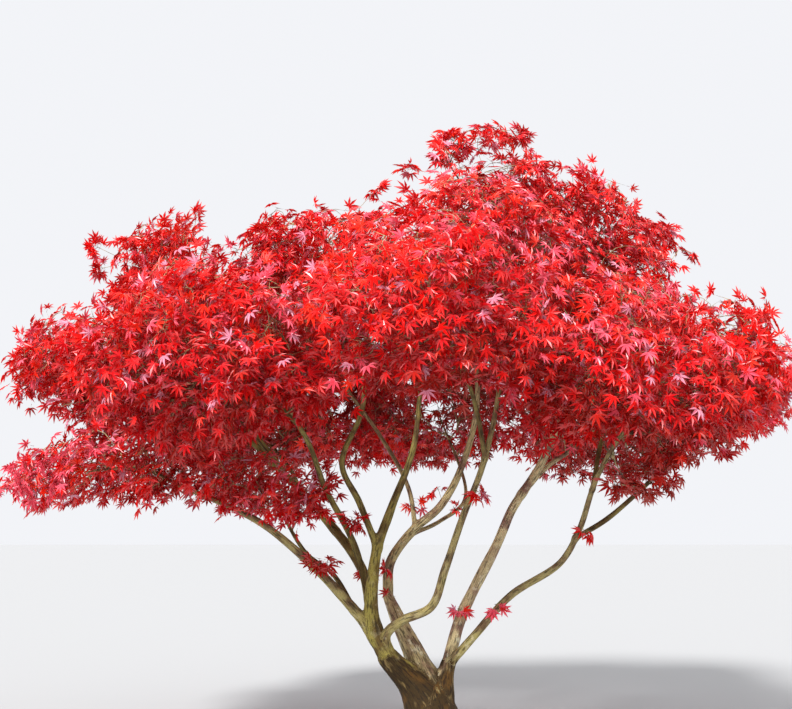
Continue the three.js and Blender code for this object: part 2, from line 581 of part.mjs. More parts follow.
// The twigs and leaves of a mass, made as one closed mesh. Each spray's twig leaves the stem, or an earlier
// twig. A spray that would leave the space of its mass, or touch a limb or another spray, is pulled back,
// made smaller or left out.
function growMass(name, boughName, seed) {
  const mass = MASSES[name];
  const bough = BOUGHS[boughName];
  const random = randomStream(seed);
  const stem = stemPoints(bough, lines[boughName]);
  const radius = (k) => bough.entryRadius + (STEM_TIP - bough.entryRadius) * (k / (stem.length - 1));

  const mesh = emptyMesh();
  let across = [1, 0, 0];
  const rings = stem.map((point, i) => {
    const chord = unit(sub(stem[Math.min(i + 1, stem.length - 1)], stem[Math.max(i - 1, 0)]));
    const along = i ? chord : bough.endWay; // so that the stem starts flat against the end of its bough
    across = unit(sub(across, scale(along, dot(across, along))));
    return mesh.addRing(ringAround(point, along, across, radius(i), THIN_SIDES));
  });
  mesh.addFaces([...cap(rings[0]), ...cap([...rings[rings.length - 1]].reverse())]);
  const walls = rings.slice(1).map((ring, i) => mesh.addFaces(wall(rings[i], ring)));
  const stemPiece = boxed(mesh.solid());
  const forks = walls.flatMap((faces, i) => forksAlong(mesh, [rings[i], rings[i + 1]], faces, {
    way: i * STEM_STEP,
    span: STEM_STEP,
    radii: [radius(i), radius(i + 1)],
    piece: { twig: stemPiece },
    uses: STEM_FORK_USES,
  }));

  const pieces = [];
  const attempt = (middle, size, fits, lie) => {
    const fork = chooseFork(forks, middle, size);
    if (!fork) return false;
    const leaf = aimLeaf(fork, middle, size, lie);
    const corners = leafCorners(middle, leaf.heading, leaf.face, size);
    if (!corners.every((corner) => fits(name, corner))) return false;
    if (!fits(name, leaf.bend, TWIG_MOST + CELL_GAP)) return false;
    const door = chooseDoor(mesh, fork, leaf.bend);
    const turn = dot(unit(sub(leaf.bend, door.middle)), leaf.heading);
    if (door.facing < LEAST_FACING || turn < SHARPEST_BEND) return false;
    const startRadius = Math.max(TWIG_TIP, fork.radius * THINNING);
    const made = sprigRings(leaf, door, startRadius);
    const tips = [0.5, -0.5].map((side) => add(middle, scale(leaf.face, side * LEAF_THICKNESS)));
    const piece = sprigPiece(made, corners, tips);
    if (clashes(piece, fork.piece, stemPiece, pieces)) return false;

    const outer = mesh.face(door.face);
    const frame = frameAround(outer.map(mesh.at), made.doorway);
    if (!frame) return false;

    const start = mesh.addRing(made.doorway);
    const framed = [...outer, ...start];
    mesh.replace(door.face, frame.map((triangle) => triangle.map((corner) => framed[corner])));
    const bendRing = mesh.addRing(made.bendRing);
    const leafRing = mesh.addRing(made.leafRing);
    const [top, bottom] = mesh.addRing(tips);
    const twigWalls = mesh.addFaces(wall(start, bendRing));
    mesh.addFaces(wall(bendRing, leafRing));
    mesh.addFaces(leafTriangles(leafRing, mesh.addRing(corners), top, bottom));

    fork.doors = fork.doors.filter((other) => other.face !== door.face);
    fork.uses -= 1;
    if (!fork.uses) forks.splice(forks.indexOf(fork), 1);
    forks.push(...forksAlong(mesh, [start, bendRing], twigWalls, {
      way: fork.way,
      span: length(sub(leaf.bend, door.middle)),
      radii: [startRadius, TWIG_TIP],
      piece,
      uses: 1,
    }));
    pieces.push(piece);
    return true;
  };

  const toRoot = (place) => length(sub(place, stem[0]));
  const places = sprayPlaces(mass, random, mass.sprays * TRIES_PER_SPRAY);
  places.sort((a, b) => toRoot(a) - toRoot(b));
  const shoot = { fits: inCell, pulls: [1], sizes: SHOOT_SIZES, droop: 0 };
  const spray = { fits: inSpace, pulls: PULL_BACK, sizes: LEAF_SIZES, droop: DROOP };
  const tries = [
    ...(mass.shoots ?? []).map((place) => ({ place, ...shoot })),
    ...places.map((place) => ({ place, ...spray })),
  ];
  for (const { place, fits, pulls, sizes, droop } of tries) {
    if (pieces.length >= mass.sprays) break;
    const lean = [random() - 0.5, random() - 0.5, random() - 0.5];
    sizes.some((share) => pulls.some((pull) =>
      attempt(mix(mass.centre, place, pull), LEAF_LENGTH * share, fits, { flat: mass.flat, lean, droop })));
  }
  return mesh.solid();
}

const foliage = {};
Object.entries(BOUGHS).forEach(([boughName, bough], i) => {
  foliage[bough.mass] = growMass(bough.mass, boughName, SEED + i);
});

// The scene graph: one named mesh for each limb and each mass
const barkMaterial = new THREE.MeshStandardMaterial({ color: COLOURS.bark, roughness: 0.9, metalness: 0 });
const leafMaterial = new THREE.MeshStandardMaterial({ color: COLOURS.leaves, roughness: 0.5, metalness: 0 });
const tree = new THREE.Group();
const place = (name, solid, material) => {
  const mesh = new THREE.Mesh(geometryFrom(solid), material);
  mesh.name = name;
  tree.add(mesh);
};
place("trunk", trunk, barkMaterial);
for (const [name, solid] of Object.entries(boughs)) place(name, solid, barkMaterial);
for (const [name, solid] of Object.entries(foliage)) place(name, solid, leafMaterial);

export default tree;
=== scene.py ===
# %% [markdown]
# A red Japanese maple, grown by rule.
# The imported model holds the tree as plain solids: a trunk, boughs, and masses of foliage made of a few
# large leaves. Here the same tree is grown again in full: bark with relief on every limb, and in each mass
# the fine twigs and the life-size leaves that those large leaves stand for. Sizes are in millimetres until
# a mesh is made, because that is how the solids were measured.

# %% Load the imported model
import json
import math
from collections import namedtuple

import bmesh
import bpy
import numpy as np
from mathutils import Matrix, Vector, kdtree, noise

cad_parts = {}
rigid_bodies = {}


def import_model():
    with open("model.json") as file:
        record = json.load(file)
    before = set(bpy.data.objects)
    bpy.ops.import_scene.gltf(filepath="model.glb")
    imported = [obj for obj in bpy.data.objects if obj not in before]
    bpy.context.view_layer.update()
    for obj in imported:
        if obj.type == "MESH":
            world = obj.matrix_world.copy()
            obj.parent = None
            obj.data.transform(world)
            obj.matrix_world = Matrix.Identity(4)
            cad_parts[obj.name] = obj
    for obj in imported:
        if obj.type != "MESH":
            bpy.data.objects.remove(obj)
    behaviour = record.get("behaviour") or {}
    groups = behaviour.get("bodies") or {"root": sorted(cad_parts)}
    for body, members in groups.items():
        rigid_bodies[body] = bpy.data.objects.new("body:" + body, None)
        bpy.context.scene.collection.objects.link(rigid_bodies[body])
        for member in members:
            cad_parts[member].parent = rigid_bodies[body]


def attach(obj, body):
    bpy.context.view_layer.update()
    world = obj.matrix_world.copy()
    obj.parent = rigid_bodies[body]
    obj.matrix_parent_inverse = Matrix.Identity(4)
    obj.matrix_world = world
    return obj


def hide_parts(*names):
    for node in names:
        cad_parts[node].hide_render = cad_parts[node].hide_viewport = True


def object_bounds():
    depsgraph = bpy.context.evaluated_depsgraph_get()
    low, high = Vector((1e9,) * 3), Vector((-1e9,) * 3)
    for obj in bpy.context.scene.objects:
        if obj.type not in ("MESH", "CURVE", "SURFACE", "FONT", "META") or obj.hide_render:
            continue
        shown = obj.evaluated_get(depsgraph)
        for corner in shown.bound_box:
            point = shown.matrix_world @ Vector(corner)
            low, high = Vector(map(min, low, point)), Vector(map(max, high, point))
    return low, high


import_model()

MM = 0.001

cad_low, cad_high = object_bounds()
print("box of the solids, in metres:", tuple(cad_low), tuple(cad_high))

# %% [markdown]
# The camera.
# The tree is seen from chest height, a few steps away, looking slightly up. The lens comes from how far
# apart things look in the picture: a focal length of 1200 pixels on a picture 792 pixels wide. Written that
# way, the value can be checked against the picture, and Blender's lens in millimetres follows from it.

# %% Camera
CAMERA_PLACE = (-0.174, -6.0, 1.20)
CAMERA_RISE = 7.1  # degrees that it looks up
FOCAL_PIXELS = 1200
PICTURE_WIDTH = 792
SENSOR_WIDTH = 36


def put_in_scene(name, data):
    """A new object in the scene, for a mesh, a camera or a light."""
    made = bpy.data.objects.new(name, data)
    bpy.context.scene.collection.objects.link(made)
    return made


camera_data = bpy.data.cameras.new("camera")
camera_data.sensor_width = SENSOR_WIDTH
camera_data.lens = SENSOR_WIDTH * FOCAL_PIXELS / PICTURE_WIDTH
camera = put_in_scene("camera", camera_data)
camera.location = CAMERA_PLACE
camera.rotation_euler = (math.radians(90 + CAMERA_RISE), 0, 0)
bpy.context.scene.camera = camera
print("lens", round(camera_data.lens, 1), "mm")

# %% [markdown]
# The lines of the limbs.
# A limb is a smooth curve with a radius that shrinks along it. The curve could be drawn by hand in the
# viewport, but these limbs have to lie exactly where the solids are, so the same few points go through the
# same kind of spline. It passes through every point, and its spans are timed by the root of their length,
# so that it makes no loop at a sharp bend.

# %% A smooth line through points
SPLINE_SAMPLES = 200


def spline_at(points, share):
    """Points of the curve at shares of its run, where points has one extra point before and after."""
    spans = len(points) - 3
    place = share * spans
    i = np.minimum(place.astype(int), spans - 1)
    w = (place - i)[:, None]
    a, b, c, d = points[i], points[i + 1], points[i + 2], points[i + 3]
    before, here, after = (
        np.sqrt(np.linalg.norm(y - x, axis=1))[:, None] for x, y in ((a, b), (b, c), (c, d))
    )
    leaving = ((b - a) / before - (c - a) / (before + here) + (c - b) / here) * here
    arriving = ((c - b) / here - (d - b) / (here + after) + (d - c) / after) * here
    bend = 3 * (c - b) - 2 * leaving - arriving
    twist = 2 * (b - c) + leaving + arriving
    return b + leaving * w + bend * w**2 + twist * w**3


def way_along(line):
    """How far along a line each of its points is."""
    return np.concatenate([[0], np.cumsum(np.linalg.norm(np.diff(line, axis=0), axis=1))])


def smooth_line(points, step):
    """The curve as points spaced evenly along it."""
    p = np.array(points, float)
    p = np.vstack([2 * p[0] - p[1], p, 2 * p[-1] - p[-2]])
    shares = np.linspace(0, 1, SPLINE_SAMPLES + 1)
    way = way_along(spline_at(p, shares))
    count = max(2, round(way[-1] / step))
    return spline_at(p, np.interp(np.linspace(0, way[-1], count + 1), way, shares))


def point_along(line, share):
    """The point at a share of a line's length."""
    place = min(share, 1) * (len(line) - 1)
    i = min(int(place), len(line) - 2)
    return line[i] + (line[i + 1] - line[i]) * (place - i)


test_line = smooth_line([(0, 0, 0), (100, 0, 0), (100, 100, 0)], 10)
print("round a corner of two sides of 100 mm the line is", way_along(test_line)[-1].round(), "mm long")

# %% [markdown]
# The trunk's measures.
# The bole is short, leans hardly at all, and flares into root lobes at the ground. It divides into three
# stems: a thick one to the left, a grey one behind and a thin one to the right. Each stem has its radius at
# its start and its end, and the points that it leaves by.

# %% Trunk measures
BOLE_RADIUS = 100
FOOT_FLARE = 0.7  # the foot is wider than the bole by this share
FLARE_HEIGHT = 95
ROOT_LOBES = 5
LOBE_SHARE = 0.13  # how far the root lobes stand out, as a share of the bole's radius
LOBE_TURN = 0.6
BOLE_TOP = (-8, 2, 350)
BOLE_CLOSING = 0.55  # how far the bole has narrowed at its top, inside the stems
CLOSING_POWER = 4
STEM_TAPER = 0.8

Stem = namedtuple("Stem", "base tip points")
STEMS = {
    "left": Stem(84, 50, [(-8, -8, 180), (-95, -40, 330), (-215, -78, 470)]),
    "grey": Stem(88, 27, [(0, 10, 180), (-40, 25, 370), (-135, 75, 570), (-215, 145, 740)]),
    "right": Stem(70, 33, [(20, 0, 180), (55, 8, 310), (82, 20, 430)]),
}
print(len(STEMS), "stems leave the bole")

# %% [markdown]
# The boughs' measures.
# Every bough says which limb it leaves and how far along, its radius at both ends, how fast it thins, the
# mass of foliage at its end, and the points it curves through. Maples branch in pairs, and one of a pair
# usually takes over, which is why the boughs sweep in long curves with thinner ones leaving them.

# %% Bough measures
Bough = namedtuple("Bough", "parent at base tip taper mass through")
BOUGHS = {
    "centre_bough": Bough(
        "left", 1, 44, 7, 3, "top_mass",
        [(-285, -120, 620), (-270, -165, 960), (-200, -175, 1170), (-90, -150, 1470),
         (-40, -90, 1900), (60, 0, 2400), (170, 40, 2860)]),
    "back_bough": Bough(
        "grey", 1, 27, 8, 1.1, "upper_back_mass",
        [(-205, 190, 900), (-90, 270, 1060), (60, 360, 1190), (170, 440, 1380),
         (270, 540, 1760), (200, 620, 2450)]),
    "right_bough": Bough(
        "right", 1, 31, 8, 0.9, "right_top_mass",
        [(150, 60, 650), (340, 160, 1000), (420, 200, 1170), (590, 240, 1430),
         (740, 210, 1840), (760, 90, 2460)]),
    "left_low_bough": Bough(
        "centre_bough", 0.045, 27, 7, 1.2, "left_droop_mass",
        [(-430, -150, 760), (-600, -250, 940), (-820, -330, 1120), (-1190, -380, 1290),
         (-1380, -370, 1370), (-1620, -350, 1350)]),
    "left_inner_bough": Bough(
        "centre_bough", 0.055, 29, 7, 1.1, "left_top_mass",
        [(-345, 60, 880), (-530, 180, 1120), (-870, 280, 1470), (-1230, 300, 1830),
         (-1370, 280, 2420)]),
    "front_bough": Bough(
        "centre_bough", 0.012, 24, 7, 1.2, "upper_front_mass",
        [(-215, -150, 590), (-140, -210, 655), (-10, -260, 720), (55, -335, 900),
         (130, -420, 1130), (235, -510, 1420), (300, -600, 1860), (200, -590, 2330)]),
    "right_low_bough": Bough(
        "right", 0.93, 21, 7, 0.9, "front_right_mass",
        [(200, -60, 560), (370, -180, 765), (590, -350, 930), (665, -440, 1080),
         (730, -610, 1330), (920, -900, 1700)]),
    "left_rising_bough": Bough(
        "left_inner_bough", 0.07, 18, 7, 1, "front_left_mass",
        [(-375, -110, 1000), (-500, -330, 1260), (-620, -700, 1560), (-950, -930, 1800)]),
    "centre_left_bough": Bough(
        "centre_bough", 0.22, 17, 7, 1, "hump_mass",
        [(-350, -240, 1210), (-430, -300, 1390), (-330, -290, 1680), (-440, -110, 2380)]),
    "left_low_side_bough": Bough(
        "left_low_bough", 0.1, 14, 7, 1, "left_low_mass",
        [(-480, -70, 860), (-610, -80, 960), (-760, -210, 1230)]),
    "left_outer_bough": Bough(
        "left_inner_bough", 0.42, 15, 7, 1, "left_tip_mass",
        [(-930, 150, 1580), (-1200, 20, 1730), (-1560, -90, 1860)]),
    "left_back_bough": Bough(
        "left_inner_bough", 0.26, 15, 7, 1, "back_left_mass",
        [(-650, 400, 1230), (-780, 660, 1420), (-1040, 940, 1690)]),
    "front_branch": Bough(
        "front_bough", 0.55, 12, 7, 1, "front_mass",
        [(180, -740, 1610), (110, -980, 1760), (0, -1210, 1960)]),
    "back_left_bough": Bough(
        "back_bough", 0.21, 13, 7, 1, "back_left_upper_mass",
        [(-110, 430, 1290), (-260, 600, 1570), (-760, 720, 2240)]),
    "back_low_bough": Bough(
        "back_bough", 0.18, 12, 7, 1, "back_mass",
        [(60, 430, 1110), (210, 680, 1240), (80, 1220, 1750)]),
    "right_back_bough": Bough(
        "right_bough", 0.42, 16, 7, 1, "back_right_mass",
        [(620, 400, 1390), (800, 650, 1500), (970, 930, 1640)]),
    "right_back_branch": Bough(
        "right_bough", 0.56, 14, 7, 1, "back_right_upper_mass",
        [(790, 400, 1790), (890, 680, 2180)]),
    "right_branch": Bough(
        "right_low_bough", 0.68, 11, 7, 1, "right_mid_mass",
        [(780, -440, 1500), (900, -280, 1760), (1090, -120, 2180)]),
    "right_reach_bough": Bough(
        "right_low_bough", 0.53, 13, 7, 1, "right_tip_mass",
        [(800, -400, 1130), (1030, -300, 1310), (1200, -200, 1450), (1340, -60, 1800)]),
}
print(len(BOUGHS), "boughs")

# %% [markdown]
# The spaces of the masses.
# Foliage gathers where the light is, at the ends of the boughs, and neighbouring sprays keep out of each
# other's way. Each mass therefore has an ellipsoid of its own, less what is nearer to a neighbour. A voxel
# grid could hold such spaces too, but a formula answers at once whether a leaf is inside.

# %% Mass measures
MASSES = {  # centre, and half size
    "top_mass": ((310, 20, 2850), (470, 430, 350)),
    "hump_mass": ((-540, -110, 2440), (590, 500, 400)),
    "upper_front_mass": ((130, -620, 2360), (560, 460, 400)),
    "right_top_mass": ((810, 60, 2680), (560, 500, 400)),
    "right_mid_mass": ((1120, -130, 2140), (400, 480, 360)),
    "upper_back_mass": ((90, 680, 2460), (580, 500, 400)),
    "back_left_upper_mass": ((-790, 730, 2260), (580, 500, 400)),
    "back_right_upper_mass": ((900, 740, 2200), (560, 500, 400)),
    "left_top_mass": ((-1400, 230, 2420), (520, 480, 420)),
    "left_tip_mass": ((-1650, -80, 1890), (560, 520, 340)),
    "left_droop_mass": ((-1570, -350, 1310), (520, 400, 190)),
    "left_low_mass": ((-760, -250, 1240), (460, 400, 190)),
    "front_left_mass": ((-1010, -950, 1850), (640, 520, 440)),
    "front_mass": ((0, -1200, 1990), (620, 470, 400)),
    "front_right_mass": ((930, -950, 1790), (580, 520, 440)),
    "right_tip_mass": ((1370, -60, 1800), (480, 560, 400)),
    "back_left_mass": ((-1080, 960, 1720), (600, 530, 390)),
    "back_mass": ((40, 1240, 1780), (640, 470, 400)),
    "back_right_mass": ((1010, 960, 1670), (590, 520, 390)),
}
FLAT_MASSES = ("left_droop_mass", "left_low_mass")  # their leaves lie in a layer
HEIGHT_WEIGHT = 1.3  # masses are flatter than wide, so height counts more in dividing their spaces

mass_names = list(MASSES)
centres, halves = (np.array(part, float) for part in zip(*MASSES.values()))
weights = np.array([1, 1, HEIGHT_WEIGHT])
reaches = (halves * weights).mean(axis=1)
print(len(mass_names), "masses")

# %% Which space a point is in


def shares_of(points, spaces):
    """How far out points are in each of some ellipsoids, where 1 is the surface."""
    middle, half = (np.array(part, float) for part in zip(*spaces))
    return np.linalg.norm((points[..., None, :] - middle) / half, axis=-1)


def inside_any(points, spaces):
    """Whether points are inside at least one of some ellipsoids."""
    return (shares_of(points, spaces) < 1).any(axis=-1)


def in_cell(name, points, margin):
    """Whether points are nearer to a mass than to its neighbours, by at least a margin."""
    k = mass_names.index(name)
    away = np.linalg.norm((points[..., None, :] - centres) * weights, axis=-1) ** 2 - reaches**2
    apart = np.linalg.norm((centres - centres[k]) * weights, axis=1)
    apart[k] = 1
    room = (away - away[..., k : k + 1]) / (2 * apart)
    room[..., k] = np.inf
    return room.min(axis=-1) > margin


print("centres in their own spaces:", sum(in_cell(*mass, 0) for mass in zip(mass_names, centres)))

# %% [markdown]
# Where the crown is closed and where it is open.
# A crown of separate balls would look like cotton wool. On the real tree, neighbouring masses grow into
# one another in some places, and notches and gaps part them in others. These could be cut by hand in the
# mesh, but every change of the tree would undo that. So each is an ellipsoid with a place: sprays grow in
# a bridge, and none grows in an opening. A few single shoots are placed in the same way, by their points.

# %% Bridges, openings and shoots
BRIDGES = (  # where sprays of neighbouring masses meet and close the crown: centre and half size
    ((-470, 900, 1560), (330, 300, 180)), ((-520, 600, 1550), (260, 260, 140)),
    ((930, -680, 1400), (280, 300, 200)), ((-1170, -330, 1330), (330, 430, 190)),
    ((-1500, -330, 1530), (400, 420, 190)), ((-400, 0, 1520), (220, 260, 110)),
    ((870, -350, 2430), (260, 220, 220)), ((-400, -560, 1670), (250, 260, 170)),
    ((370, -600, 1600), (195, 240, 180)), ((875, -700, 1310), (170, 200, 90)),
    ((-1000, -200, 1900), (300, 330, 200)), ((0, 150, 2250), (300, 330, 200)),
    ((720, -250, 2080), (350, 380, 210)), ((-480, 950, 1950), (250, 300, 220)),
    ((250, 900, 2110), (420, 280, 190)), ((700, 370, 2000), (280, 260, 190)),
    ((-60, 500, 2000), (240, 250, 150)), ((-850, 350, 1780), (290, 290, 200)),
)
OPENINGS = (  # notches and gaps in the crown: centre and half size
    ((-1035, 100, 2695), (165, 900, 300)), ((-85, 0, 2715), (132, 900, 290)),
    ((280, 0, 3030), (60, 600, 120)), ((172, 0, 2930), (85, 600, 75)),
    ((480, 0, 2965), (170, 600, 45)), ((620, 0, 3033), (80, 600, 110)),
    ((845, 0, 3065), (230, 900, 185)), ((1010, 0, 3060), (230, 900, 175)),
    ((1050, 0, 2830), (140, 900, 215)), ((1290, 0, 2880), (200, 900, 290)),
    ((1490, -100, 2320), (290, 1000, 235)), ((-1810, 0, 2410), (180, 900, 265)),
    ((-1710, 0, 2260), (110, 900, 130)), ((-1630, 0, 2630), (100, 900, 120)),
    ((-1393, 0, 2800), (330, 900, 125)), ((-404, 0, 2790), (380, 900, 145)),
    ((-360, 0, 2690), (90, 900, 110)), ((-785, 0, 2820), (220, 900, 145)),
    ((-1920, -100, 1595), (165, 700, 145)), ((-1560, -380, 1085), (420, 600, 130)),
    ((-1180, -300, 1080), (300, 600, 130)), ((-870, -250, 1020), (330, 600, 130)),
    ((-330, -250, 1300), (110, 600, 150)), ((640, -650, 1300), (135, 450, 125)),
    ((1150, -600, 1330), (120, 400, 100)), ((-1540, -900, 2165), (190, 400, 140)),
    ((1200, -900, 2200), (200, 400, 155)), ((51, -800, 1553), (100, 700, 110)),
    ((86, 0, 1607), (100, 800, 110)), ((125, 900, 1668), (100, 800, 110)),
    ((780, -900, 1425), (140, 320, 105)), ((920, -200, 1455), (145, 450, 110)),
    ((1070, 600, 1490), (150, 550, 115)), ((1440, -350, 1965), (145, 420, 125)),
    ((1590, 250, 2045), (155, 500, 130)),
)
SHOOTS = {  # sprays that stand alone on long shoots: place, and size as a share of a full spray
    "top_mass": [((87, -40, 3080), 0.24), ((150, -40, 3000), 0.24), ((50, -40, 2950), 0.2),
                 ((262, -20, 3120), 0.1), ((385, -20, 3095), 0.36), ((450, -20, 3080), 0.14),
                 ((-95, -100, 2880), 0.24), ((112, -60, 3045), 0.2), ((70, -60, 3020), 0.2)],
    "hump_mass": [((-275, -100, 2772), 0.14)],
    "left_top_mass": [((-1730, 150, 2530), 0.2), ((-1700, 150, 2420), 0.2), ((-1215, 120, 2680), 0.28)],
    "right_top_mass": [((1200, 0, 2590), 0.26)],
    "right_mid_mass": [((1310, -50, 2460), 0.2)],
    "right_tip_mass": [((1330, -350, 1440), 0.35)],
    "front_right_mass": [((880, -700, 1270), 0.4), ((800, -650, 1310), 0.4), ((1000, -650, 1320), 0.36)],
    "left_droop_mass": [((-1195, -470, 1356), 0.42), ((-1241, -430, 1290), 0.42),
                        ((-1125, -450, 1290), 0.42), ((-1149, -400, 1402), 0.42)],
}
print(len(BRIDGES), "bridges,", len(OPENINGS), "openings,", sum(map(len, SHOOTS.values())), "shoots")

# %% How deep a point is in the crown
BLEND = 1.45  # how far out, as a share of its ellipsoid, a mass helps to fill the gaps beside it
CROWN_EDGE = (1 - 1 / BLEND**2) ** 2  # cover at the surface of an ellipsoid that stands alone
RAGGED = 0.34  # how strongly the crown's edge goes in and out
RAGGED_SIZE = 190


def noise_at(places, width, length=None):
    """Blender's own noise, with bumps of a given width, and of a given length up or along a limb."""
    scaled = places / np.array([width, width, length or width], float)
    return np.array([noise.noise(Vector(p)) for p in scaled.reshape(-1, 3)]).reshape(places.shape[:-1])


def cover(points, bridges=BRIDGES):
    """How deep points are in the crown. Over CROWN_EDGE is inside, and neighbouring masses add up."""
    shares = shares_of(points, [*MASSES.values(), *bridges])
    filled = (np.maximum(0, 1 - (shares / BLEND) ** 2) ** 2).sum(axis=-1)
    filled += RAGGED * noise_at(points, RAGGED_SIZE)
    return np.where(inside_any(points, OPENINGS), 0, filled)


print("cover at the middle of each mass:", cover(centres).round(1))

# %% Work out every limb's line and radius
ENTRY_MARGIN = 3  # the same gap between spaces that the solids keep
LIMB_TIP = 3.5  # radius at the very end of a limb, in the foliage
FINE_STEP = 20

Limb = namedtuple("Limb", "line radius parent points entry", defaults=(None, None))
limbs = {}
for name, stem in STEMS.items():
    line = smooth_line(stem.points, FINE_STEP)
    share = np.linspace(0, 1, len(line))
    limbs[name] = Limb(line, stem.base + (stem.tip - stem.base) * share**STEM_TAPER, "bole", stem.points)

for name, bough in BOUGHS.items():
    start = point_along(limbs[bough.parent].line, bough.at)
    points = [tuple(start), *bough.through]
    line = smooth_line(points, FINE_STEP)
    share = np.linspace(0, 1, len(line))
    inside = inside_any(line, [MASSES[bough.mass]]) & in_cell(bough.mass, line, ENTRY_MARGIN)
    entry = int(np.argmax(inside))  # its first point in the mass
    radius = bough.tip + (bough.base - bough.tip) * (1 - share) ** bough.taper
    beyond = np.clip((share - share[entry]) / (1 - share[entry]), 0, 1)
    radius = np.where(beyond > 0, radius[entry] + (LIMB_TIP - radius[entry]) * beyond, radius)
    limbs[name] = Limb(line, radius, bough.parent, points, entry)
print("limbs:", len(limbs), "with", sum(len(limb.line) for limb in limbs.values()), "points")

# %% [markdown]
# Meshes from arrays.
# The tree has tens of thousands of leaves and twigs, so nothing here is made vertex by vertex in a loop.
# Corners are worked out all together as NumPy arrays and handed to Blender in one go. An instance for each
# leaf would be lighter, but an export drops instances, so the leaves are joined meshes.

# %% Make a mesh object from arrays of corners and triangles
UPWARDS = np.array([0, 0, 1.0])
SIDEWAYS = np.array([1.0, 0, 0])
LEAST_LENGTH = 1e-9  # so that nothing is divided by zero


def piece_from(name, corners, triangles, smooth=False):
    """A mesh object, from corners in metres and triangles of corner numbers."""
    mesh = bpy.data.meshes.new(name)
    mesh.vertices.add(len(corners))
    mesh.vertices.foreach_set("co", np.asarray(corners, np.float32).ravel())
    mesh.loops.add(triangles.size)
    mesh.loops.foreach_set("vertex_index", np.asarray(triangles, np.int32).ravel())
    mesh.polygons.add(len(triangles))
    mesh.polygons.foreach_set("loop_start", np.arange(0, triangles.size, 3, dtype=np.int32))
    mesh.polygons.foreach_set("use_smooth", np.full(len(triangles), smooth))
    mesh.update(calc_edges=True)
    return put_in_scene(name, mesh)


def unit(vectors):
    """Vectors brought to a length of 1."""
    return vectors / np.maximum(np.linalg.norm(vectors, axis=-1, keepdims=True), LEAST_LENGTH)


print("the direction of a step of 3, 4 and 12:", unit(np.array([3.0, 4.0, 12.0])).round(3))

# %% [markdown]
# Limbs as tubes.
# Each limb is swept as a tube of rings along its line. Blender can bevel a curve in the same way, but the
# rings are wanted here, because the bark's ridges follow the limb. Every corner remembers its place on the
# limb laid out straight, and that is where the relief and the colours of the bark are read.

# %% Directions along a line
STEEP = 0.9  # a line that rises by more than this share of its length counts as upright


def ring_frames(line):
    """Directions along, across and beside a line at each of its points, with no sudden turn."""
    along = unit(np.gradient(line, axis=0))
    start = SIDEWAYS if abs(along[0][2]) > STEEP else UPWARDS
    across = np.empty_like(along)
    for i, way in enumerate(along):
        start = start - way * start.dot(way)
        start = start / np.linalg.norm(start)
        across[i] = start
    return along, across, np.cross(along, across)


def circle(sides):
    """Angles evenly round a circle, in radians."""
    return np.linspace(0, 2 * math.pi, sides, endpoint=False)


def spokes(across, beside, sides):
    """Directions straight out of a line, to every side, at each of its points."""
    angle = circle(sides)[:, None]
    return across[..., None, :] * np.cos(angle) + beside[..., None, :] * np.sin(angle)


test_spokes = spokes(SIDEWAYS, np.cross(UPWARDS, SIDEWAYS), 4)
print("four spokes round an upright line:", test_spokes.round().tolist())

# %% Rings along a line, and the triangles between them


def rings_around(line, radius, sides):
    """Corners (rings, sides, 3), their outward directions, and their places on the straightened limb."""
    _, across, beside = ring_frames(line)
    outward = spokes(across, beside, sides)
    width = np.broadcast_to(radius[:, None], (len(line), sides))
    way = np.broadcast_to(way_along(line)[:, None], width.shape)
    place = np.stack([width * np.cos(circle(sides)), width * np.sin(circle(sides)), way], axis=-1)
    return line[:, None] + outward * width[..., None], outward, place


def tube_triangles(rings, sides):
    """Walls between rings, and a fan over each end."""
    k = np.arange(sides)
    after = (k + 1) % sides
    base = (np.arange(rings - 1) * sides)[:, None]
    a, b, c, d = base + k, base + after, base + sides + after, base + sides + k
    walls = np.concatenate([np.stack([a, b, c], -1), np.stack([a, c, d], -1)]).reshape(-1, 3)
    fan = np.stack([np.zeros(sides - 2, int), np.arange(2, sides), np.arange(1, sides - 1)], -1)
    far = (rings - 1) * sides + fan[:, ::-1]
    return np.concatenate([walls, fan, far])


print("a tube of 3 rings and 6 sides has", len(tube_triangles(3, 6)), "triangles")

# %% [markdown]
# The relief of the bark.
# A maple's bark is smooth when young: only a slight swelling here and there. On thick limbs it is drawn out
# into fine ridges along the wood. Bump in the material could fake this, but the outline of a limb would
# stay a clean tube, so the ridges are in the mesh: noise that is stretched along the limb.

# %% Relief at places on a limb
SWELL_LENGTH = 140
SWELL_SHARE = 0.07  # of the radius
RIDGE_WIDTH = 17
RIDGE_LENGTH = 120
RIDGE_HEIGHT = 3.0  # on the thickest limbs
RIDGE_FULL_RADIUS = 70
RIDGE_MIDDLE = 0.6  # ridges rise over this share of their height and are cut in below it
GRAIN_WIDTH = 7
GRAIN_LENGTH = 21
GRAIN_HEIGHT = 0.7


def relief(places, radius):
    """How far the bark stands out, in millimetres."""
    thick = np.minimum(1, radius / RIDGE_FULL_RADIUS)
    swell = SWELL_SHARE * radius * noise_at(places, SWELL_LENGTH)
    ridges = 1 - 2 * np.abs(noise_at(places, RIDGE_WIDTH, RIDGE_LENGTH))
    grain = noise_at(places, GRAIN_WIDTH, GRAIN_LENGTH)
    return swell + RIDGE_HEIGHT * thick * (ridges - RIDGE_MIDDLE) + GRAIN_HEIGHT * np.sqrt(thick) * grain


print("ridges up to", RIDGE_HEIGHT, "mm on a limb of", RIDGE_FULL_RADIUS, "mm radius")

# %% [markdown]
# Where limbs join.
# Wood grows over a fork: the corner between two limbs is filled and rounded, with a collar round the
# thinner one. Each limb's skin is therefore lifted where another limb that it joins comes near, most at
# the corner itself. Both skins rise to meet, as in a smooth union of two shapes.

# %% Which limbs meet


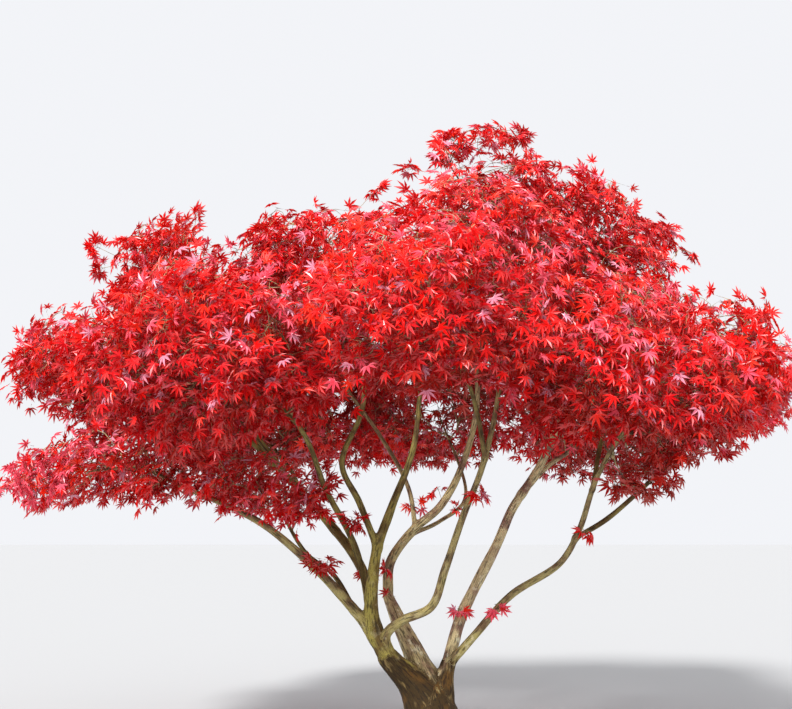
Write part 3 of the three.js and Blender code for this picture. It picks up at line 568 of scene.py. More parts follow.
def goes_on(first, second):
    """Whether the second limb goes on from the very end of the first."""
    return second in BOUGHS and BOUGHS[second].parent == first and BOUGHS[second].at == 1


def joined_to(name):
    """The limbs that a limb meets: its parent, its children and its parent's other children."""
    parent = limbs[name].parent
    met = [
        other for other, limb in limbs.items()
        if other != name and (other == parent or limb.parent in (name, parent))
    ]
    return [other for other in met if not goes_on(name, other) and not goes_on(other, name)]


print("left_low_bough is joined to", joined_to("left_low_bough"))

# %% Fillets at the forks
FILLET_SHARE = 1.5  # width of a fillet, as a share of the thinner limb's radius
FILLET_SLOPE = 4  # a fillet is this many times as wide as it is high
NEAR_RADII = 3  # a fillet is worked out only for corners within this many radii of a limb's line
NEAR_MORE = 80  # and this many millimetres more
COARSE = 4  # every fourth point of the line is enough to find those corners


def distance_to(points, limb):
    """Distance from points to the skin of a limb, and the limb's radius there."""
    gaps = np.linalg.norm(points[:, None] - limb.line[None], axis=-1) - limb.radius
    nearest = gaps.argmin(axis=1)
    return gaps[np.arange(len(points)), nearest], limb.radius[nearest]


def fillet(name, corners, radius):
    """How far the corners of a limb's rings are lifted beside the limbs that it joins."""
    flat = corners.reshape(-1, 3)
    thickness = np.broadcast_to(radius[:, None], corners.shape[:2]).ravel()
    lift = np.zeros(len(flat))
    for other in joined_to(name):
        limb = limbs[other]
        to_line = np.linalg.norm(flat[:, None] - limb.line[None, ::COARSE], axis=-1).min(axis=1)
        near = to_line < NEAR_RADII * limb.radius.max() + NEAR_MORE
        if not near.any():
            continue
        gap, other_radius = distance_to(flat[near], limb)
        width = FILLET_SHARE * np.minimum(thickness[near], other_radius)
        rise = width / FILLET_SLOPE * np.maximum(0, 1 - np.maximum(0, gap) / width) ** 2
        lift[near] = np.maximum(lift[near], rise)
    return lift.reshape(corners.shape[:2])


print("beside a limb of 40 mm radius the skin rises by up to", 40 * FILLET_SHARE / FILLET_SLOPE, "mm")

# %% Build the bole as a tube with root lobes
BOLE_SIDES = 72
BOLE_STEP = 7.5

bole_heights = np.arange(0, BOLE_TOP[2] + BOLE_STEP, BOLE_STEP, dtype=float)
bole_line = np.array(BOLE_TOP) * (bole_heights / BOLE_TOP[2])[:, None]
fade = np.exp(-bole_heights / FLARE_HEIGHT)[:, None]
lobe = LOBE_SHARE * np.cos(ROOT_LOBES * circle(BOLE_SIDES) + LOBE_TURN)
closing = BOLE_CLOSING * ((bole_heights / BOLE_TOP[2]) ** CLOSING_POWER)[:, None]
bole_radius = BOLE_RADIUS * (1 + fade * (FOOT_FLARE + lobe) - closing)
bole_mean = bole_radius.mean(axis=1)
limbs["bole"] = Limb(bole_line, bole_mean, None)

around = np.stack([np.cos(circle(BOLE_SIDES)), np.sin(circle(BOLE_SIDES)), np.zeros(BOLE_SIDES)], -1)
bole_place = around * bole_radius[..., None]
bole_place[..., 2] = bole_heights[:, None]
bole_rise = fillet("bole", bole_line[:, None] + around * bole_radius[..., None], bole_mean)
bole_rise = bole_rise + relief(bole_place, bole_radius)
bole_corners = bole_line[:, None] + around * (bole_radius + bole_rise)[..., None]
print("the foot is", (2 * bole_radius[0].max()).round(), "mm wide")

# %% Round off the ends of the stems
DOME_RINGS = 5


def domed(line, radius):
    """The line and radius with a round end added, so that a limb that goes on from it turns smoothly."""
    way = unit(line[-1] - line[-2])
    turn = np.linspace(0, math.pi / 2, DOME_RINGS + 1)[1:-1]
    more = line[-1] + way * radius[-1] * np.sin(turn)[:, None]
    return np.vstack([line, more]), np.concatenate([radius, radius[-1] * np.cos(turn)])


print("a round end has", DOME_RINGS - 1, "rings")

# %% Build every other limb as a tube
SIDES_BY_RADIUS = ((60, 56), (40, 36), (25, 28), (18, 20), (0, 12))  # base radius from this on, sides
STEP_BY_RADIUS = ((40, 8), (18, 11), (0, 16))
NOISE_APART = 1000.0  # each limb reads its noise this much further on, so that no two share it
BOLE_TONE = 0.55  # 0 is the bark of young wood, 1 that of grey, mature wood
COMMON_TONE = 0.15
TONES = {"grey": 0.85, "right": 0.8, "back_bough": 0.7, "right_bough": 1, "right_low_bough": 0.4,
         "front_bough": 0.4, "left_low_bough": 0.4, "back_low_bough": 0.6, "back_left_bough": 0.6,
         "right_back_bough": 0.9}


def pick(table, value):
    """What the first row of a table gives whose least value is reached."""
    return next(chosen for least, chosen in table if value >= least)


Tube = namedtuple("Tube", "corners place tone radius")
tubes = [Tube(bole_corners, bole_place, BOLE_TONE, np.broadcast_to(bole_mean[:, None], bole_radius.shape))]
for number, (name, limb) in enumerate(limbs.items(), 1):
    if name == "bole":
        continue
    base = limb.radius[0]
    line = smooth_line(limb.points, pick(STEP_BY_RADIUS, base))
    radius = np.interp(np.linspace(0, 1, len(line)), np.linspace(0, 1, len(limb.line)), limb.radius)
    if name in STEMS:
        line, radius = domed(line, radius)
    corners, outward, place = rings_around(line, radius, pick(SIDES_BY_RADIUS, base))
    place = place + NOISE_APART * number * UPWARDS
    width = np.broadcast_to(radius[:, None], corners.shape[:2])
    rise = fillet(name, corners, radius) + relief(place, width)
    tubes.append(Tube(corners + outward * rise[..., None], place, TONES.get(name, COMMON_TONE), width))
print(len(tubes), "tubes,", sum(tube.radius.size for tube in tubes), "corners")

# %% [markdown]
# One skin over all limbs.
# A tube that starts inside its parent leaves hidden walls there. A Boolean union removes them and leaves
# one closed skin. Blender's Manifold solver does that in a moment, where a voxel remesh would lose the
# fine ridges. The new corners along each seam are then relaxed a little, so that the bark runs over it.

# %% Unite the tubes
drafts = [
    piece_from(f"tube_{i}", tube.corners.reshape(-1, 3) * MM, tube_triangles(*tube.radius.shape))
    for i, tube in enumerate(tubes)
]
for other in drafts[1:]:
    union = drafts[0].modifiers.new(other.name, "BOOLEAN")
    union.operation = "UNION"
    union.solver = "MANIFOLD"
    union.object = other
united = drafts[0].evaluated_get(bpy.context.evaluated_depsgraph_get())
bark_mesh = bpy.data.meshes.new_from_object(united)
bark = put_in_scene("bark", bark_mesh)
for done in drafts:
    bpy.data.objects.remove(done)
print("bark:", len(bark_mesh.vertices), "corners,", len(bark_mesh.polygons), "faces")

# %% Relax the seams
SEAM_APART = 0.02 * MM  # a corner further than this from every tube's corners is new, so it is on a seam
SEAM_REACH = 9 * MM
SEAM_ROUNDS = 6
SEAM_SOFTENING = 0.5


def tree_of(points):
    """A search tree, which finds the nearest of many points."""
    tree = kdtree.KDTree(len(points))
    for i, point in enumerate(points):
        tree.insert(point, i)
    tree.balance()
    return tree


tube_tree = tree_of(np.concatenate([tube.corners.reshape(-1, 3) for tube in tubes]) * MM)
found = [tube_tree.find(v.co) for v in bark_mesh.vertices]
origin = np.array([index for _, index, _ in found])
on_seam = [v.co.copy() for v, (_, _, gap) in zip(bark_mesh.vertices, found) if gap > SEAM_APART]
seam_tree = tree_of(on_seam)

work = bmesh.new()
work.from_mesh(bark_mesh)
soft = [v for v in work.verts if v.co.z > SEAM_REACH and seam_tree.find(v.co)[2] < SEAM_REACH]
for _ in range(SEAM_ROUNDS):
    bmesh.ops.smooth_vert(
        work, verts=soft, factor=SEAM_SOFTENING, use_axis_x=True, use_axis_y=True, use_axis_z=True
    )
work.to_mesh(bark_mesh)
work.free()
bark_mesh.shade_smooth()
print(len(on_seam), "seam corners,", len(soft), "relaxed")

# %% Keep each corner's place, tone and age for the bark's colours
AGE_FULL_RADIUS = 90  # radius at which the bark of a limb looks old
MATURE = 0.55  # the most that thickness alone ages it
OLD_BARK_HEIGHTS = (0.36, 0.68)  # metres: old below the first, aged by thickness alone above the second
TONE_ROUNDS = 40

edges = np.empty(2 * len(bark_mesh.edges), np.int32)
bark_mesh.edges.foreach_get("vertices", edges)
edges = edges.reshape(-1, 2)
neighbours = np.bincount(edges.ravel(), minlength=len(origin))


def soften(values):
    """Values spread over the mesh, so that one limb's bark passes into the next without a border."""
    for _ in range(TONE_ROUNDS):
        total = np.bincount(edges[:, 0], values[edges[:, 1]], len(values))
        total += np.bincount(edges[:, 1], values[edges[:, 0]], len(values))
        values = 0.5 * (values + total / neighbours)
    return values


def keep_on_bark(name, values):
    """Keep a value for every corner. The bark's material reads it by its name."""
    kind, field = ("FLOAT_VECTOR", "vector") if values.ndim == 2 else ("FLOAT", "value")
    attribute = bark_mesh.attributes.new(name, kind, "POINT")
    attribute.data.foreach_set(field, np.asarray(values, np.float32).ravel())


tones = np.concatenate([np.full(tube.radius.size, tube.tone) for tube in tubes])[origin]
ages = np.concatenate([tube.radius.ravel() for tube in tubes])[origin] / AGE_FULL_RADIUS
heights = np.array([v.co.z for v in bark_mesh.vertices])
foot = 1 - np.interp(heights, OLD_BARK_HEIGHTS, (0, 1))
keep_on_bark("bark_place", np.concatenate([tube.place.reshape(-1, 3) for tube in tubes])[origin] * MM)
keep_on_bark("bark_tone", soften(tones))
keep_on_bark("bark_age", np.maximum(soften(np.minimum(MATURE, ages)), foot))
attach(bark, "root")
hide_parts("trunk", *BOUGHS)
print("bark stands for", 1 + len(BOUGHS), "solids")

# %% [markdown]
# The rule of growth.
# A mass fills its space like this: places for sprays are spread evenly through the space by a fixed walk,
# and taken in turn from the root outwards. A twig goes to each one from the nearest fork that isn't too
# far from the bough, with one bend. It brings new forks for later twigs. The solids use a few of these
# places, and here the same walk goes on to many more, so the fine twigs follow the same paths.

# %% The same repeatable numbers as in the solids
SEED = 1037
TWO_32 = 2**32
STRIDE = 0x6D2B79F5


def random_stream(seed):
    """Numbers from 0 to 1 that look random. The same seed, shifts and factors gave those of the solids."""
    state = seed % TWO_32
    while True:
        state = (state + STRIDE) % TWO_32
        t = (state ^ (state >> 15)) * (1 | state) % TWO_32
        t = (t + (t ^ (t >> 7)) * (61 | t) % TWO_32) % TWO_32 ^ t
        yield ((t ^ (t >> 14)) % TWO_32) / TWO_32


stream = random_stream(SEED)
print("first numbers:", [round(next(stream), 4) for _ in range(3)])

# %% Places for sprays
PLASTIC = 1.2207440846057596  # its powers step evenly through a box
PLACES = 430  # in a cubic metre
SEARCH = 1.35  # the box that places are taken from, as a share of the ellipsoid's
PLACE_INSIDE = 1.12  # a place has at least this much of the cover at the edge of the crown


def spray_places(mass, stream):
    """Places spread evenly over a mass's own space, by a walk whose start is drawn from the stream."""
    k = mass_names.index(mass)
    start = np.array([next(stream) for _ in range(3)])
    half = SEARCH * halves[k]
    count = int(PLACES * (2 * half * MM).prod())
    steps = np.arange(1, count)[:, None] / PLASTIC ** np.array([1, 2, 3])
    p = centres[k] + (2 * ((start + steps) % 1) - 1) * half
    return p[(cover(p) > PLACE_INSIDE * CROWN_EDGE) & in_cell(mass, p, 0)]


test_stream = random_stream(SEED)
print("places in all:", sum(len(spray_places(name, test_stream)) for name in mass_names))

# %% Which way a spray points and faces
CROWN_MIDDLE = 1400  # height that the leaves face away from
OUTWARD_RISE = 0.4  # how much height counts in the way outwards
UPRIGHT = 0.5  # how far a spray faces up
FLAT_UPRIGHT = 0.8  # and how far in a flat mass
FACE_OUT = 0.6  # how far it faces out of the crown
LEAN = 1.4  # how far chance tips it
POINT_ALONG = 0.75  # how far it points the way that its twig goes
POINT_OUT = 0.45  # how far it points out of the crown
DROOP = 0.6  # and how far down
END_LENGTH = 180  # the bend of a twig is this far from its end
END_SHARE = 0.6  # or this share of the whole twig, where that is less


def aim(fork, middle, size, flat, lean, droop):
    """A spray at the end of a twig from a fork, with the ways it points and faces."""
    outward = unit(np.array([middle[0], middle[1], (middle[2] - CROWN_MIDDLE) * OUTWARD_RISE]))
    gap = np.linalg.norm(middle - fork)
    way = (middle - fork) / gap
    face = unit((FLAT_UPRIGHT if flat else UPRIGHT) * UPWARDS + FACE_OUT * outward + LEAN * lean)
    wanted = POINT_ALONG * way + POINT_OUT * outward - droop * UPWARDS
    heading = unit(wanted - face * wanted.dot(face))
    bend = middle - heading * min(END_LENGTH, gap * END_SHARE)
    return {"middle": middle, "size": size, "face": face, "heading": heading, "bend": bend, "fork": fork}


test_spray = aim(0 * UPWARDS, CROWN_MIDDLE * (SIDEWAYS + UPWARDS), 1, False, 0 * UPWARDS, DROOP)
print("a spray at the right of the crown points", test_spray["heading"].round(2))

# %% The curve of a twig and the ends of a spray
LOBES = ((0, 1), (46, 0.93), (-46, 0.93), (98, 0.68), (-98, 0.68))  # turn in degrees, share of the length


def twig_curve(fork, bend, middle, share):
    """A point on a twig, which curves from its fork past its bend to the middle of its spray."""
    return fork * (1 - share) ** 2 + 2 * bend * share * (1 - share) + middle * share**2


def along_twig(spray, share):
    """A point on the twig of a spray."""
    return twig_curve(spray["fork"], spray["bend"], spray["middle"], share)


def lobe_ends(spray):
    """Where the lobes end on the large leaf that a spray stands for."""
    left = np.cross(spray["face"], spray["heading"])
    turns = np.radians([turn for turn, _ in LOBES])[:, None]
    shares = np.array([share for _, share in LOBES])[:, None]
    ways = np.cos(turns) * spray["heading"] + np.sin(turns) * left
    return spray["middle"] + ways * shares * spray["size"]


print("a spray has", len(LOBES), "ends")

# %% Keep twigs clear of the limbs and inside the box of the solids
TWIG_CLEARANCE = 8
FREE_SHARE = 0.4  # the start of a twig lies on its stem, so only the rest is tested
TESTED_POINTS = 6  # along the rest of it
BOX_MARGIN = 20  # the ends of a spray may stand this far out of the box
AT_A_TIME = 2000

limb_points = np.concatenate([limb.line for limb in limbs.values()])
limb_radii = np.concatenate([limb.radius for limb in limbs.values()])
tested_shares = np.linspace(FREE_SHARE, 1, TESTED_POINTS)[:, None]
box_low = np.array(cad_low) / MM - BOX_MARGIN
box_high = np.array(cad_high) / MM + BOX_MARGIN


def gap_to_limbs(points):
    """Distance from points to the skin of the nearest limb, worked out some thousands at a time."""
    return np.concatenate([
        (np.linalg.norm(part[:, None] - limb_points[None], axis=-1) - limb_radii).min(axis=1)
        for part in np.array_split(points, len(points) // AT_A_TIME + 1)
    ])


def clear_of_limbs(spray):
    """Whether the twig of a spray keeps clear of the limbs, but for its start."""
    return gap_to_limbs(along_twig(spray, tested_shares)).min() > TWIG_CLEARANCE


def in_box(points):
    """Whether points are in the box of the solids, or within the margin of it."""
    return ((points > box_low) & (points < box_high)).all(axis=-1)


print("a twig keeps", TWIG_CLEARANCE, "mm clear of", len(limb_points), "points of the limbs")

# %% Try to grow one spray
SPRAY_LENGTH = 240
PULL_BACK = (1, 0.95, 0.9, 0.84, 0.78, 0.7)  # places tried, as shares of the way out from the centre
NEAREST_FORK = 0.45  # a twig is at least this share of its spray's size
REACH_COST = 0.35  # how much the whole way back to the bough counts in the choice of a fork
FORKS_ON_TWIG = (0.22, 0.42, 0.62)  # shares along a twig where later twigs may leave it
KNIT = -60  # sprays of neighbouring masses may cross their border by this much
ENDS_INSIDE = 1.25  # share of the cover at the crown's edge that the ends of a spray keep to


def attempt(mass, forks, place, share, is_shoot, lean):
    """A spray at the first pull back that keeps it in its space, with its forks added, or None."""
    size = SPRAY_LENGTH * share
    spots = np.array([f["at"] for f in forks])
    ways = np.array([f["way"] for f in forks])
    for pull in (1,) if is_shoot else PULL_BACK:
        middle = centres[mass_names.index(mass)] * (1 - pull) + place * pull
        gaps = np.linalg.norm(spots - middle, axis=1)
        cost = np.where(gaps > NEAREST_FORK * size, gaps + REACH_COST * (ways + gaps), np.inf)
        best = int(cost.argmin())
        if not np.isfinite(cost[best]):
            return None
        fork = forks[best]
        spray = aim(fork["at"], middle, size, mass in FLAT_MASSES, lean, 0 if is_shoot else DROOP)
        ends = lobe_ends(spray)
        inside = is_shoot or np.sort(cover(ends))[1] > ENDS_INSIDE * CROWN_EDGE  # one may stand out
        inside = inside and in_box(ends).all() and in_cell(mass, ends, KNIT).all()
        if inside and clear_of_limbs(spray):
            spray.update(parent=fork["twig"], mass=mass, leafy=1)
            fork["uses"] -= 1
            if not fork["uses"]:
                del forks[best]
            span = np.linalg.norm(middle - fork["at"])
            for t in FORKS_ON_TWIG:
                forks.append({"at": along_twig(spray, t), "way": fork["way"] + span * t,
                              "uses": 1, "twig": spray})
            return spray
    return None


print("a full spray is", SPRAY_LENGTH, "mm long")

# %% Grow every mass
SPRAY_SIZES = (1, 0.82, 0.66, 0.5)  # tried in turn, as shares of a full spray
STEM_FORK_STEP = 3  # points of the fine line between the forks of a stem
STEM_FORK_USES = 3
THIN_FROM = 0.5  # from this cover inwards, fewer and fewer places are used
THIN_TO = 1.0
THIN_SHARE = 0.22  # share of the places that is left there
THIN_FLAT = 0.5  # a flat mass counts as this much less deep, so its layer stays dense


def grow_mass(mass, limb, seed):
    """The sprays of a mass, its shoots first, from the limb that goes on into it as its stem."""
    stream = random_stream(seed)
    stem = limb.line[limb.entry :: STEM_FORK_STEP]
    forks = [{"at": p, "way": i * STEM_FORK_STEP * FINE_STEP, "uses": STEM_FORK_USES, "twig": None}
             for i, p in enumerate(stem)]
    places = spray_places(mass, stream)
    places = places[np.linalg.norm(places - stem[0], axis=1).argsort(kind="stable")]
    deep = cover(places, ()) * (THIN_FLAT if mass in FLAT_MASSES else 1)
    wanted = np.interp(deep, (THIN_FROM, THIN_TO), (1, THIN_SHARE))
    tries = [(np.array(p, float), size) for p, size in SHOOTS.get(mass, [])]
    tries += [(p, None) for p, share in zip(places, wanted) if next(stream) < share]
    grown = []
    for place, shoot_size in tries:
        lean = np.array([next(stream) - 0.5 for _ in range(3)])
        for share in (shoot_size,) if shoot_size else SPRAY_SIZES:
            spray = attempt(mass, forks, place, share, bool(shoot_size), lean)
            if spray:
                grown.append(spray)
                break
    return grown


sprays = []
for i, (name, bough) in enumerate(BOUGHS.items()):
    sprays += grow_mass(bough.mass, limbs[name], SEED + i)
print(len(sprays), "sprays grown")

# %% [markdown]
# Sprigs on the bare wood.
# Here and there a maple puts out a small tuft of leaves straight from an old limb. They are too few for a
# rule, so each is placed one by one, by the limb, the share along it and the turn around it. Placed so, a
# tuft stays on its limb when the limb's points are changed.

# %% Sprigs straight from the limbs
SPRIGS = (  # limb, share along it, turn around it in degrees, size, share of a spray's leaves
    ("left_low_bough", 0.262, 280, 75, 1),
    ("left_low_side_bough", 0.333, 280, 60, 0.6),
    ("left_rising_bough", 0.247, 320, 70, 0.8),
    ("centre_left_bough", 0.08, 160, 45, 0.4),
    ("back_left_bough", 0.095, 160, 60, 0.5),
    ("back_bough", 0.32, 180, 60, 0.6),
    ("back_low_bough", 0.239, 80, 30, 0.25),
    ("front_bough", 0.462, 200, 45, 0.4),
    ("centre_bough", 0.169, 320, 40, 0.4),
    ("left_inner_bough", 0.096, 340, 30, 0.25),
    ("grey", 0.839, 280, 30, 0.25),
    ("right_bough", 0.099, 260, 35, 0.3),
    ("right_low_bough", 0.217, 120, 35, 0.3),
    ("right_low_bough", 0.543, 180, 40, 0.4),
)
SPRIG_LENGTH = 30
SPRIG_RISE = 38  # a sprig rises this much before it hangs over
SPRIG_ALONG = 0.5  # how far it leans along its limb
SPRIG_OUT = 0.6  # how far its tuft points outwards
SPRIG_HANG = 0.8  # and down
SPRIG_FACE_UP = 0.6

for name, share, turn, size, leafy in SPRIGS:
    limb = limbs[name]
    along, across, beside = ring_frames(limb.line)
    i = int(share * (len(limb.line) - 1))
    out = across[i] * math.cos(math.radians(turn)) + beside[i] * math.sin(math.radians(turn))
    way = unit(out + SPRIG_ALONG * along[i])
    fork = limb.line[i]
    middle = fork + way * (limb.radius[i] + SPRIG_LENGTH) + SPRIG_RISE * UPWARDS
    heading = unit(SPRIG_OUT * way - SPRIG_HANG * UPWARDS)
    face = unit(out + SPRIG_FACE_UP * UPWARDS)
    face = unit(face - heading * face.dot(heading))
    mass = BOUGHS[name if name in BOUGHS else "back_bough"].mass  # the grey stem goes on as back_bough
    sprays.append({"middle": middle, "size": size, "face": face, "heading": heading, "fork": fork,
                   "bend": (fork + middle) / 2, "parent": None, "mass": mass, "leafy": leafy})
print(len(SPRIGS), "sprigs")

# %% [markdown]
# How thick twigs are.
# A twig that feeds many sprays is thicker than one that feeds few: the wood's area adds up at every fork.
# So each twig's radius is worked out backwards, from the number of sprays that hang on it.

# %% Radii from the sprays that each twig carries
SPRAY_TWIG = 1.7  # radius of a twig that carries one spray
TWIG_GROWTH = 0.45  # power of the number carried
TWIG_MOST = 8

for spray in sprays:
    spray["carried"] = 1
for spray in reversed(sprays):
    if spray["parent"] is not None:
        spray["parent"]["carried"] += spray["carried"]
carried = np.array([spray["carried"] for spray in sprays])
twig_radius = np.minimum(TWIG_MOST, SPRAY_TWIG * carried**TWIG_GROWTH)
print("thickest twig", twig_radius.max().round(1), "mm, carrying", carried.max(), "sprays")

# %% Arrays of all sprays
middles, sizes, headings, faces, bends, fork_points, leafy_shares = (
    np.array([spray[key] for spray in sprays])
    for key in ("middle", "size", "heading", "face", "bend", "fork", "leafy")
)
lefts = np.cross(faces, headings)
spray_masses = np.array([mass_names.index(spray["mass"]) for spray in sprays])
dice = np.random.RandomState(SEED)
print("mean spray size", sizes.mean().round(), "mm")

# %% [markdown]
# Twigs.
# A twig of a maple is thin and round and grows in a curve. Thousands of them are made at once as
# three-sided tubes, because at this thickness nobody sees the sides. Each spray has a twig with its bend,
# and a twiglet towards every lobe of the large leaf that it stands for.

# %% Many thin tubes at once
TWIG_SIDES = 3


def thin_tubes(paths, radii, pointed=False):
    """Tubes along many short paths (number, points, 3) with radii (number, points)."""
    along = unit(np.gradient(paths, axis=1))
    helper = np.where(np.abs(along[:, :1, 2:]) > STEEP, SIDEWAYS, UPWARDS)
    across = unit(np.cross(along, np.broadcast_to(helper, along.shape)))
    outward = spokes(across, np.cross(along, across), TWIG_SIDES)
    corners = paths[:, :, None] + outward * radii[:, :, None, None]
    count, rings = radii.shape
    last = (rings - 1) * TWIG_SIDES  # the first corner of the last ring
    k = np.arange(TWIG_SIDES)
    after = (k + 1) % TWIG_SIDES
    triangles = []
    for start in range(0, last, TWIG_SIDES):
        a, b = start + k, start + after
        c, d = a + TWIG_SIDES, b + TWIG_SIDES
        if pointed and c[0] == last:
            triangles.append(np.stack([a, b, np.full(TWIG_SIDES, last)], -1))
        else:
            triangles += [np.stack([a, b, d], -1), np.stack([a, d, c], -1)]
    corners = corners.reshape(count, -1, 3)
    if pointed:
        corners[:, last] = paths[:, -1]
        corners = corners[:, : last + 1]
    shift = (np.arange(count) * corners.shape[1])[:, None, None]
    return corners.reshape(-1, 3), (np.concatenate(triangles) + shift).reshape(-1, 3)


test_path = np.stack([0 * UPWARDS, UPWARDS])[None]
print("a twiglet has", len(thin_tubes(test_path, np.ones((1, 2)), pointed=True)[1]), "triangles")

# %% Places on every spray at once
SAG = 0.22  # how far the end of a spray hangs down, as a share of its size
LEAF_REACH = 0.36  # how far a leaf reaches past the end of its twiglet, as a share of the spray's size
TWIGLET_BACK = -0.16  # the middle twiglet and the rear ones leave the twig here, behind the spray's middle
REAR_TURN = 90  # degrees: lobes that turn away by more than this are the rear ones


def on_spray(along, beside):
    """Points of all sprays at places given as shares of their size, hanging a little at the ends."""
    flat = headings[:, None] * along[..., None] + lefts[:, None] * beside[..., None]
    spots = middles[:, None] + flat * sizes[:, None, None]
    spots[..., 2] -= SAG * sizes[:, None] * np.hypot(along, beside) ** 2
    return spots


def on_twiglet(turn, length, share):
    """Place along and beside a spray, at a share of the twiglet that goes towards one of its lobes."""
    start = TWIGLET_BACK if abs(turn) > REAR_TURN or not turn else 0
    reach = (length - LEAF_REACH) * share
    return start + reach * math.cos(math.radians(turn)), reach * math.sin(math.radians(turn))


print("the middle twiglet ends at", round(on_twiglet(*LOBES[0], 1)[0], 2), "of a spray's length")

# %% Lay the twig and the twiglets of every spray
TWIG_RINGS = 4
TWIGLET_RADIUS = 0.8 * SPRAY_TWIG

t = np.linspace(0, 1, TWIG_RINGS)
twig_paths = twig_curve(fork_points[:, None], bends[:, None], middles[:, None], t[None, :, None])
thinning = np.maximum(0, 1 - t / max(FORKS_ON_TWIG))
twig_radii = TWIGLET_RADIUS + (twig_radius[:, None] - TWIGLET_RADIUS) * thinning
parts = [thin_tubes(twig_paths, twig_radii)]
for turn, length in LOBES:
    spots = on_spray(*on_twiglet(turn, length, np.array([[0, 1.0]])))
    radii = np.tile([TWIGLET_RADIUS, 0], (len(sprays), 1))
    parts.append(thin_tubes(spots, radii, pointed=True))
offsets = np.cumsum([0] + [len(corners) for corners, _ in parts[:-1]])
twig_corners = np.concatenate([corners for corners, _ in parts])
twig_triangles = np.concatenate([triangles + o for (_, triangles), o in zip(parts, offsets)])
print("twigs:", len(twig_triangles), "triangles")

# %% [markdown]
# The shape of a leaf.
# The leaf has seven pointed lobes, spread like fingers, with the outer two small. Each lobe is folded
# along its vein, and the whole leaf curls down towards its tips, so that it catches the light in streaks.
# A cut-out picture on a flat card would be lighter, but from close by or from the side it falls apart.

# %% One leaf, with a given curl
LEAF_LOBES = ((0, 1), (39, 0.95), (79, 0.79), (122, 0.5))  # turn in degrees, share of the middle lobe
NOTCHES = (0.27, 0.25, 0.22)  # depth between one lobe and the next
SHOULDER_AT = 0.52  # where a lobe is widest, as a share of its length
SHOULDER_HALF = 0.12  # half its width there, as a share of its length
PLAIN_LOBE = 0.5  # a lobe no longer than this share has no shoulders
FOLD = 0.07
BASE_BACK = 0.05


def leaf_shape(curl, cup):
    """Corners and triangles of a leaf: x to its left, y to its tip, z up. The stalk joins at the origin."""
    lobes = [(-turn, share) for turn, share in reversed(LEAF_LOBES[1:])] + list(LEAF_LOBES)
    depths = [*reversed(NOTCHES), *NOTCHES]
    corners = [(0, 0, 0)]
    triangles = []

    def corner(turn, out, rise=0.0):
        angle = math.radians(turn)
        corners.append((out * math.sin(angle), out * math.cos(angle), rise + cup * out - curl * out * out))
        return len(corners) - 1

    first = before = corner(180, BASE_BACK)
    for i, (turn, share) in enumerate(lobes):
        last = i == len(lobes) - 1
        after = first if last else corner((turn + lobes[i + 1][0]) / 2, depths[i], FOLD)
        tip = corner(turn, share)
        if share > PLAIN_LOBE:
            spread = math.degrees(math.atan2(SHOULDER_HALF, SHOULDER_AT))
            out = share * math.hypot(SHOULDER_HALF, SHOULDER_AT)
            one = corner(turn - spread, out, FOLD)
            two = corner(turn + spread, out, FOLD)
            triangles += [(0, before, one), (0, one, tip), (0, tip, two), (0, two, after)]
        else:
            triangles += [(0, before, tip), (0, tip, after)]
        before = after
    return np.array(corners), np.array(triangles)[:, ::-1]


CURLS = (0.05, 0.16, 0.3, 0.5)
CUPS = (0.0, 0.12)
leaf_kinds = np.array([leaf_shape(curl, cup)[0] for curl in CURLS for cup in CUPS])
leaf_faces = leaf_shape(0, 0)[1]
print("a leaf has", len(leaf_kinds[0]), "corners and", len(leaf_faces), "triangles")

# %% [markdown]
# Where the leaves sit.
# Leaves grow in opposite pairs along a twiglet, with one at its end. Their stalks turn so that the blades
# lie side by side and facing the light. The pattern of one spray is a short list, and every spray repeats
# it with its own small errors, drawn from seeded numbers.

# %% The pattern of leaves in a spray
PAIRS = {0: (0.3, 0.72), 46: (0.5,), -46: (0.5,), 98: (), -98: ()}  # shares of the twiglet's length
PAIR_TURN = 54  # degrees between a pair's stalks and their twiglet

pattern = []  # place along, place beside, turn of the stalk
for turn, length in LOBES:
    for share in PAIRS[turn]:
        place = on_twiglet(turn, length, share)
        pattern += [(*place, turn + PAIR_TURN), (*place, turn - PAIR_TURN)]
    pattern.append((*on_twiglet(turn, length, 1), turn))
pattern = np.array(pattern)
print(len(pattern), "leaves in a spray,", len(pattern) * len(sprays), "in all")

# %% Place every leaf
LEAF_RADII = (39, 58)  # from the stalk to the tip of the middle lobe
STALKS = (16, 34)
TURN_ERROR = 16
HANG = (-0.25, 0.5)  # how far a leaf's tip points down
TILT = 0.45  # how far blades tip away from the plane of their spray

shape = (len(sprays), len(pattern))
nodes = on_spray(pattern[None, :, 0], pattern[None, :, 1])
turns = np.radians(pattern[None, :, 2] + dice.normal(0, TURN_ERROR, shape))
way = np.cos(turns)[..., None] * headings[:, None] + np.sin(turns)[..., None] * lefts[:, None]
way[..., 2] -= dice.uniform(*HANG, shape)
way = unit(way)
base = nodes + way * dice.uniform(*STALKS, shape)[..., None]
up = faces[:, None] + TILT * dice.normal(0, 1, (*shape, 3))
up = unit(up - way * (up * way).sum(-1, keepdims=True))
leaves = {
    "node": nodes, "base": base, "way": way, "up": up,
    "size": dice.uniform(*LEAF_RADII, shape),
    "kind": dice.randint(0, len(leaf_kinds), shape),
    "spray": np.broadcast_to(np.arange(len(sprays))[:, None], shape),
}
leaves = {key: values.reshape(-1, *values.shape[2:]) for key, values in leaves.items()}
print("leaves placed:", len(leaves["size"]))

# %% Skip the leaves that would touch a limb or leave the box of the solids
LEAF_CLEARANCE = 10

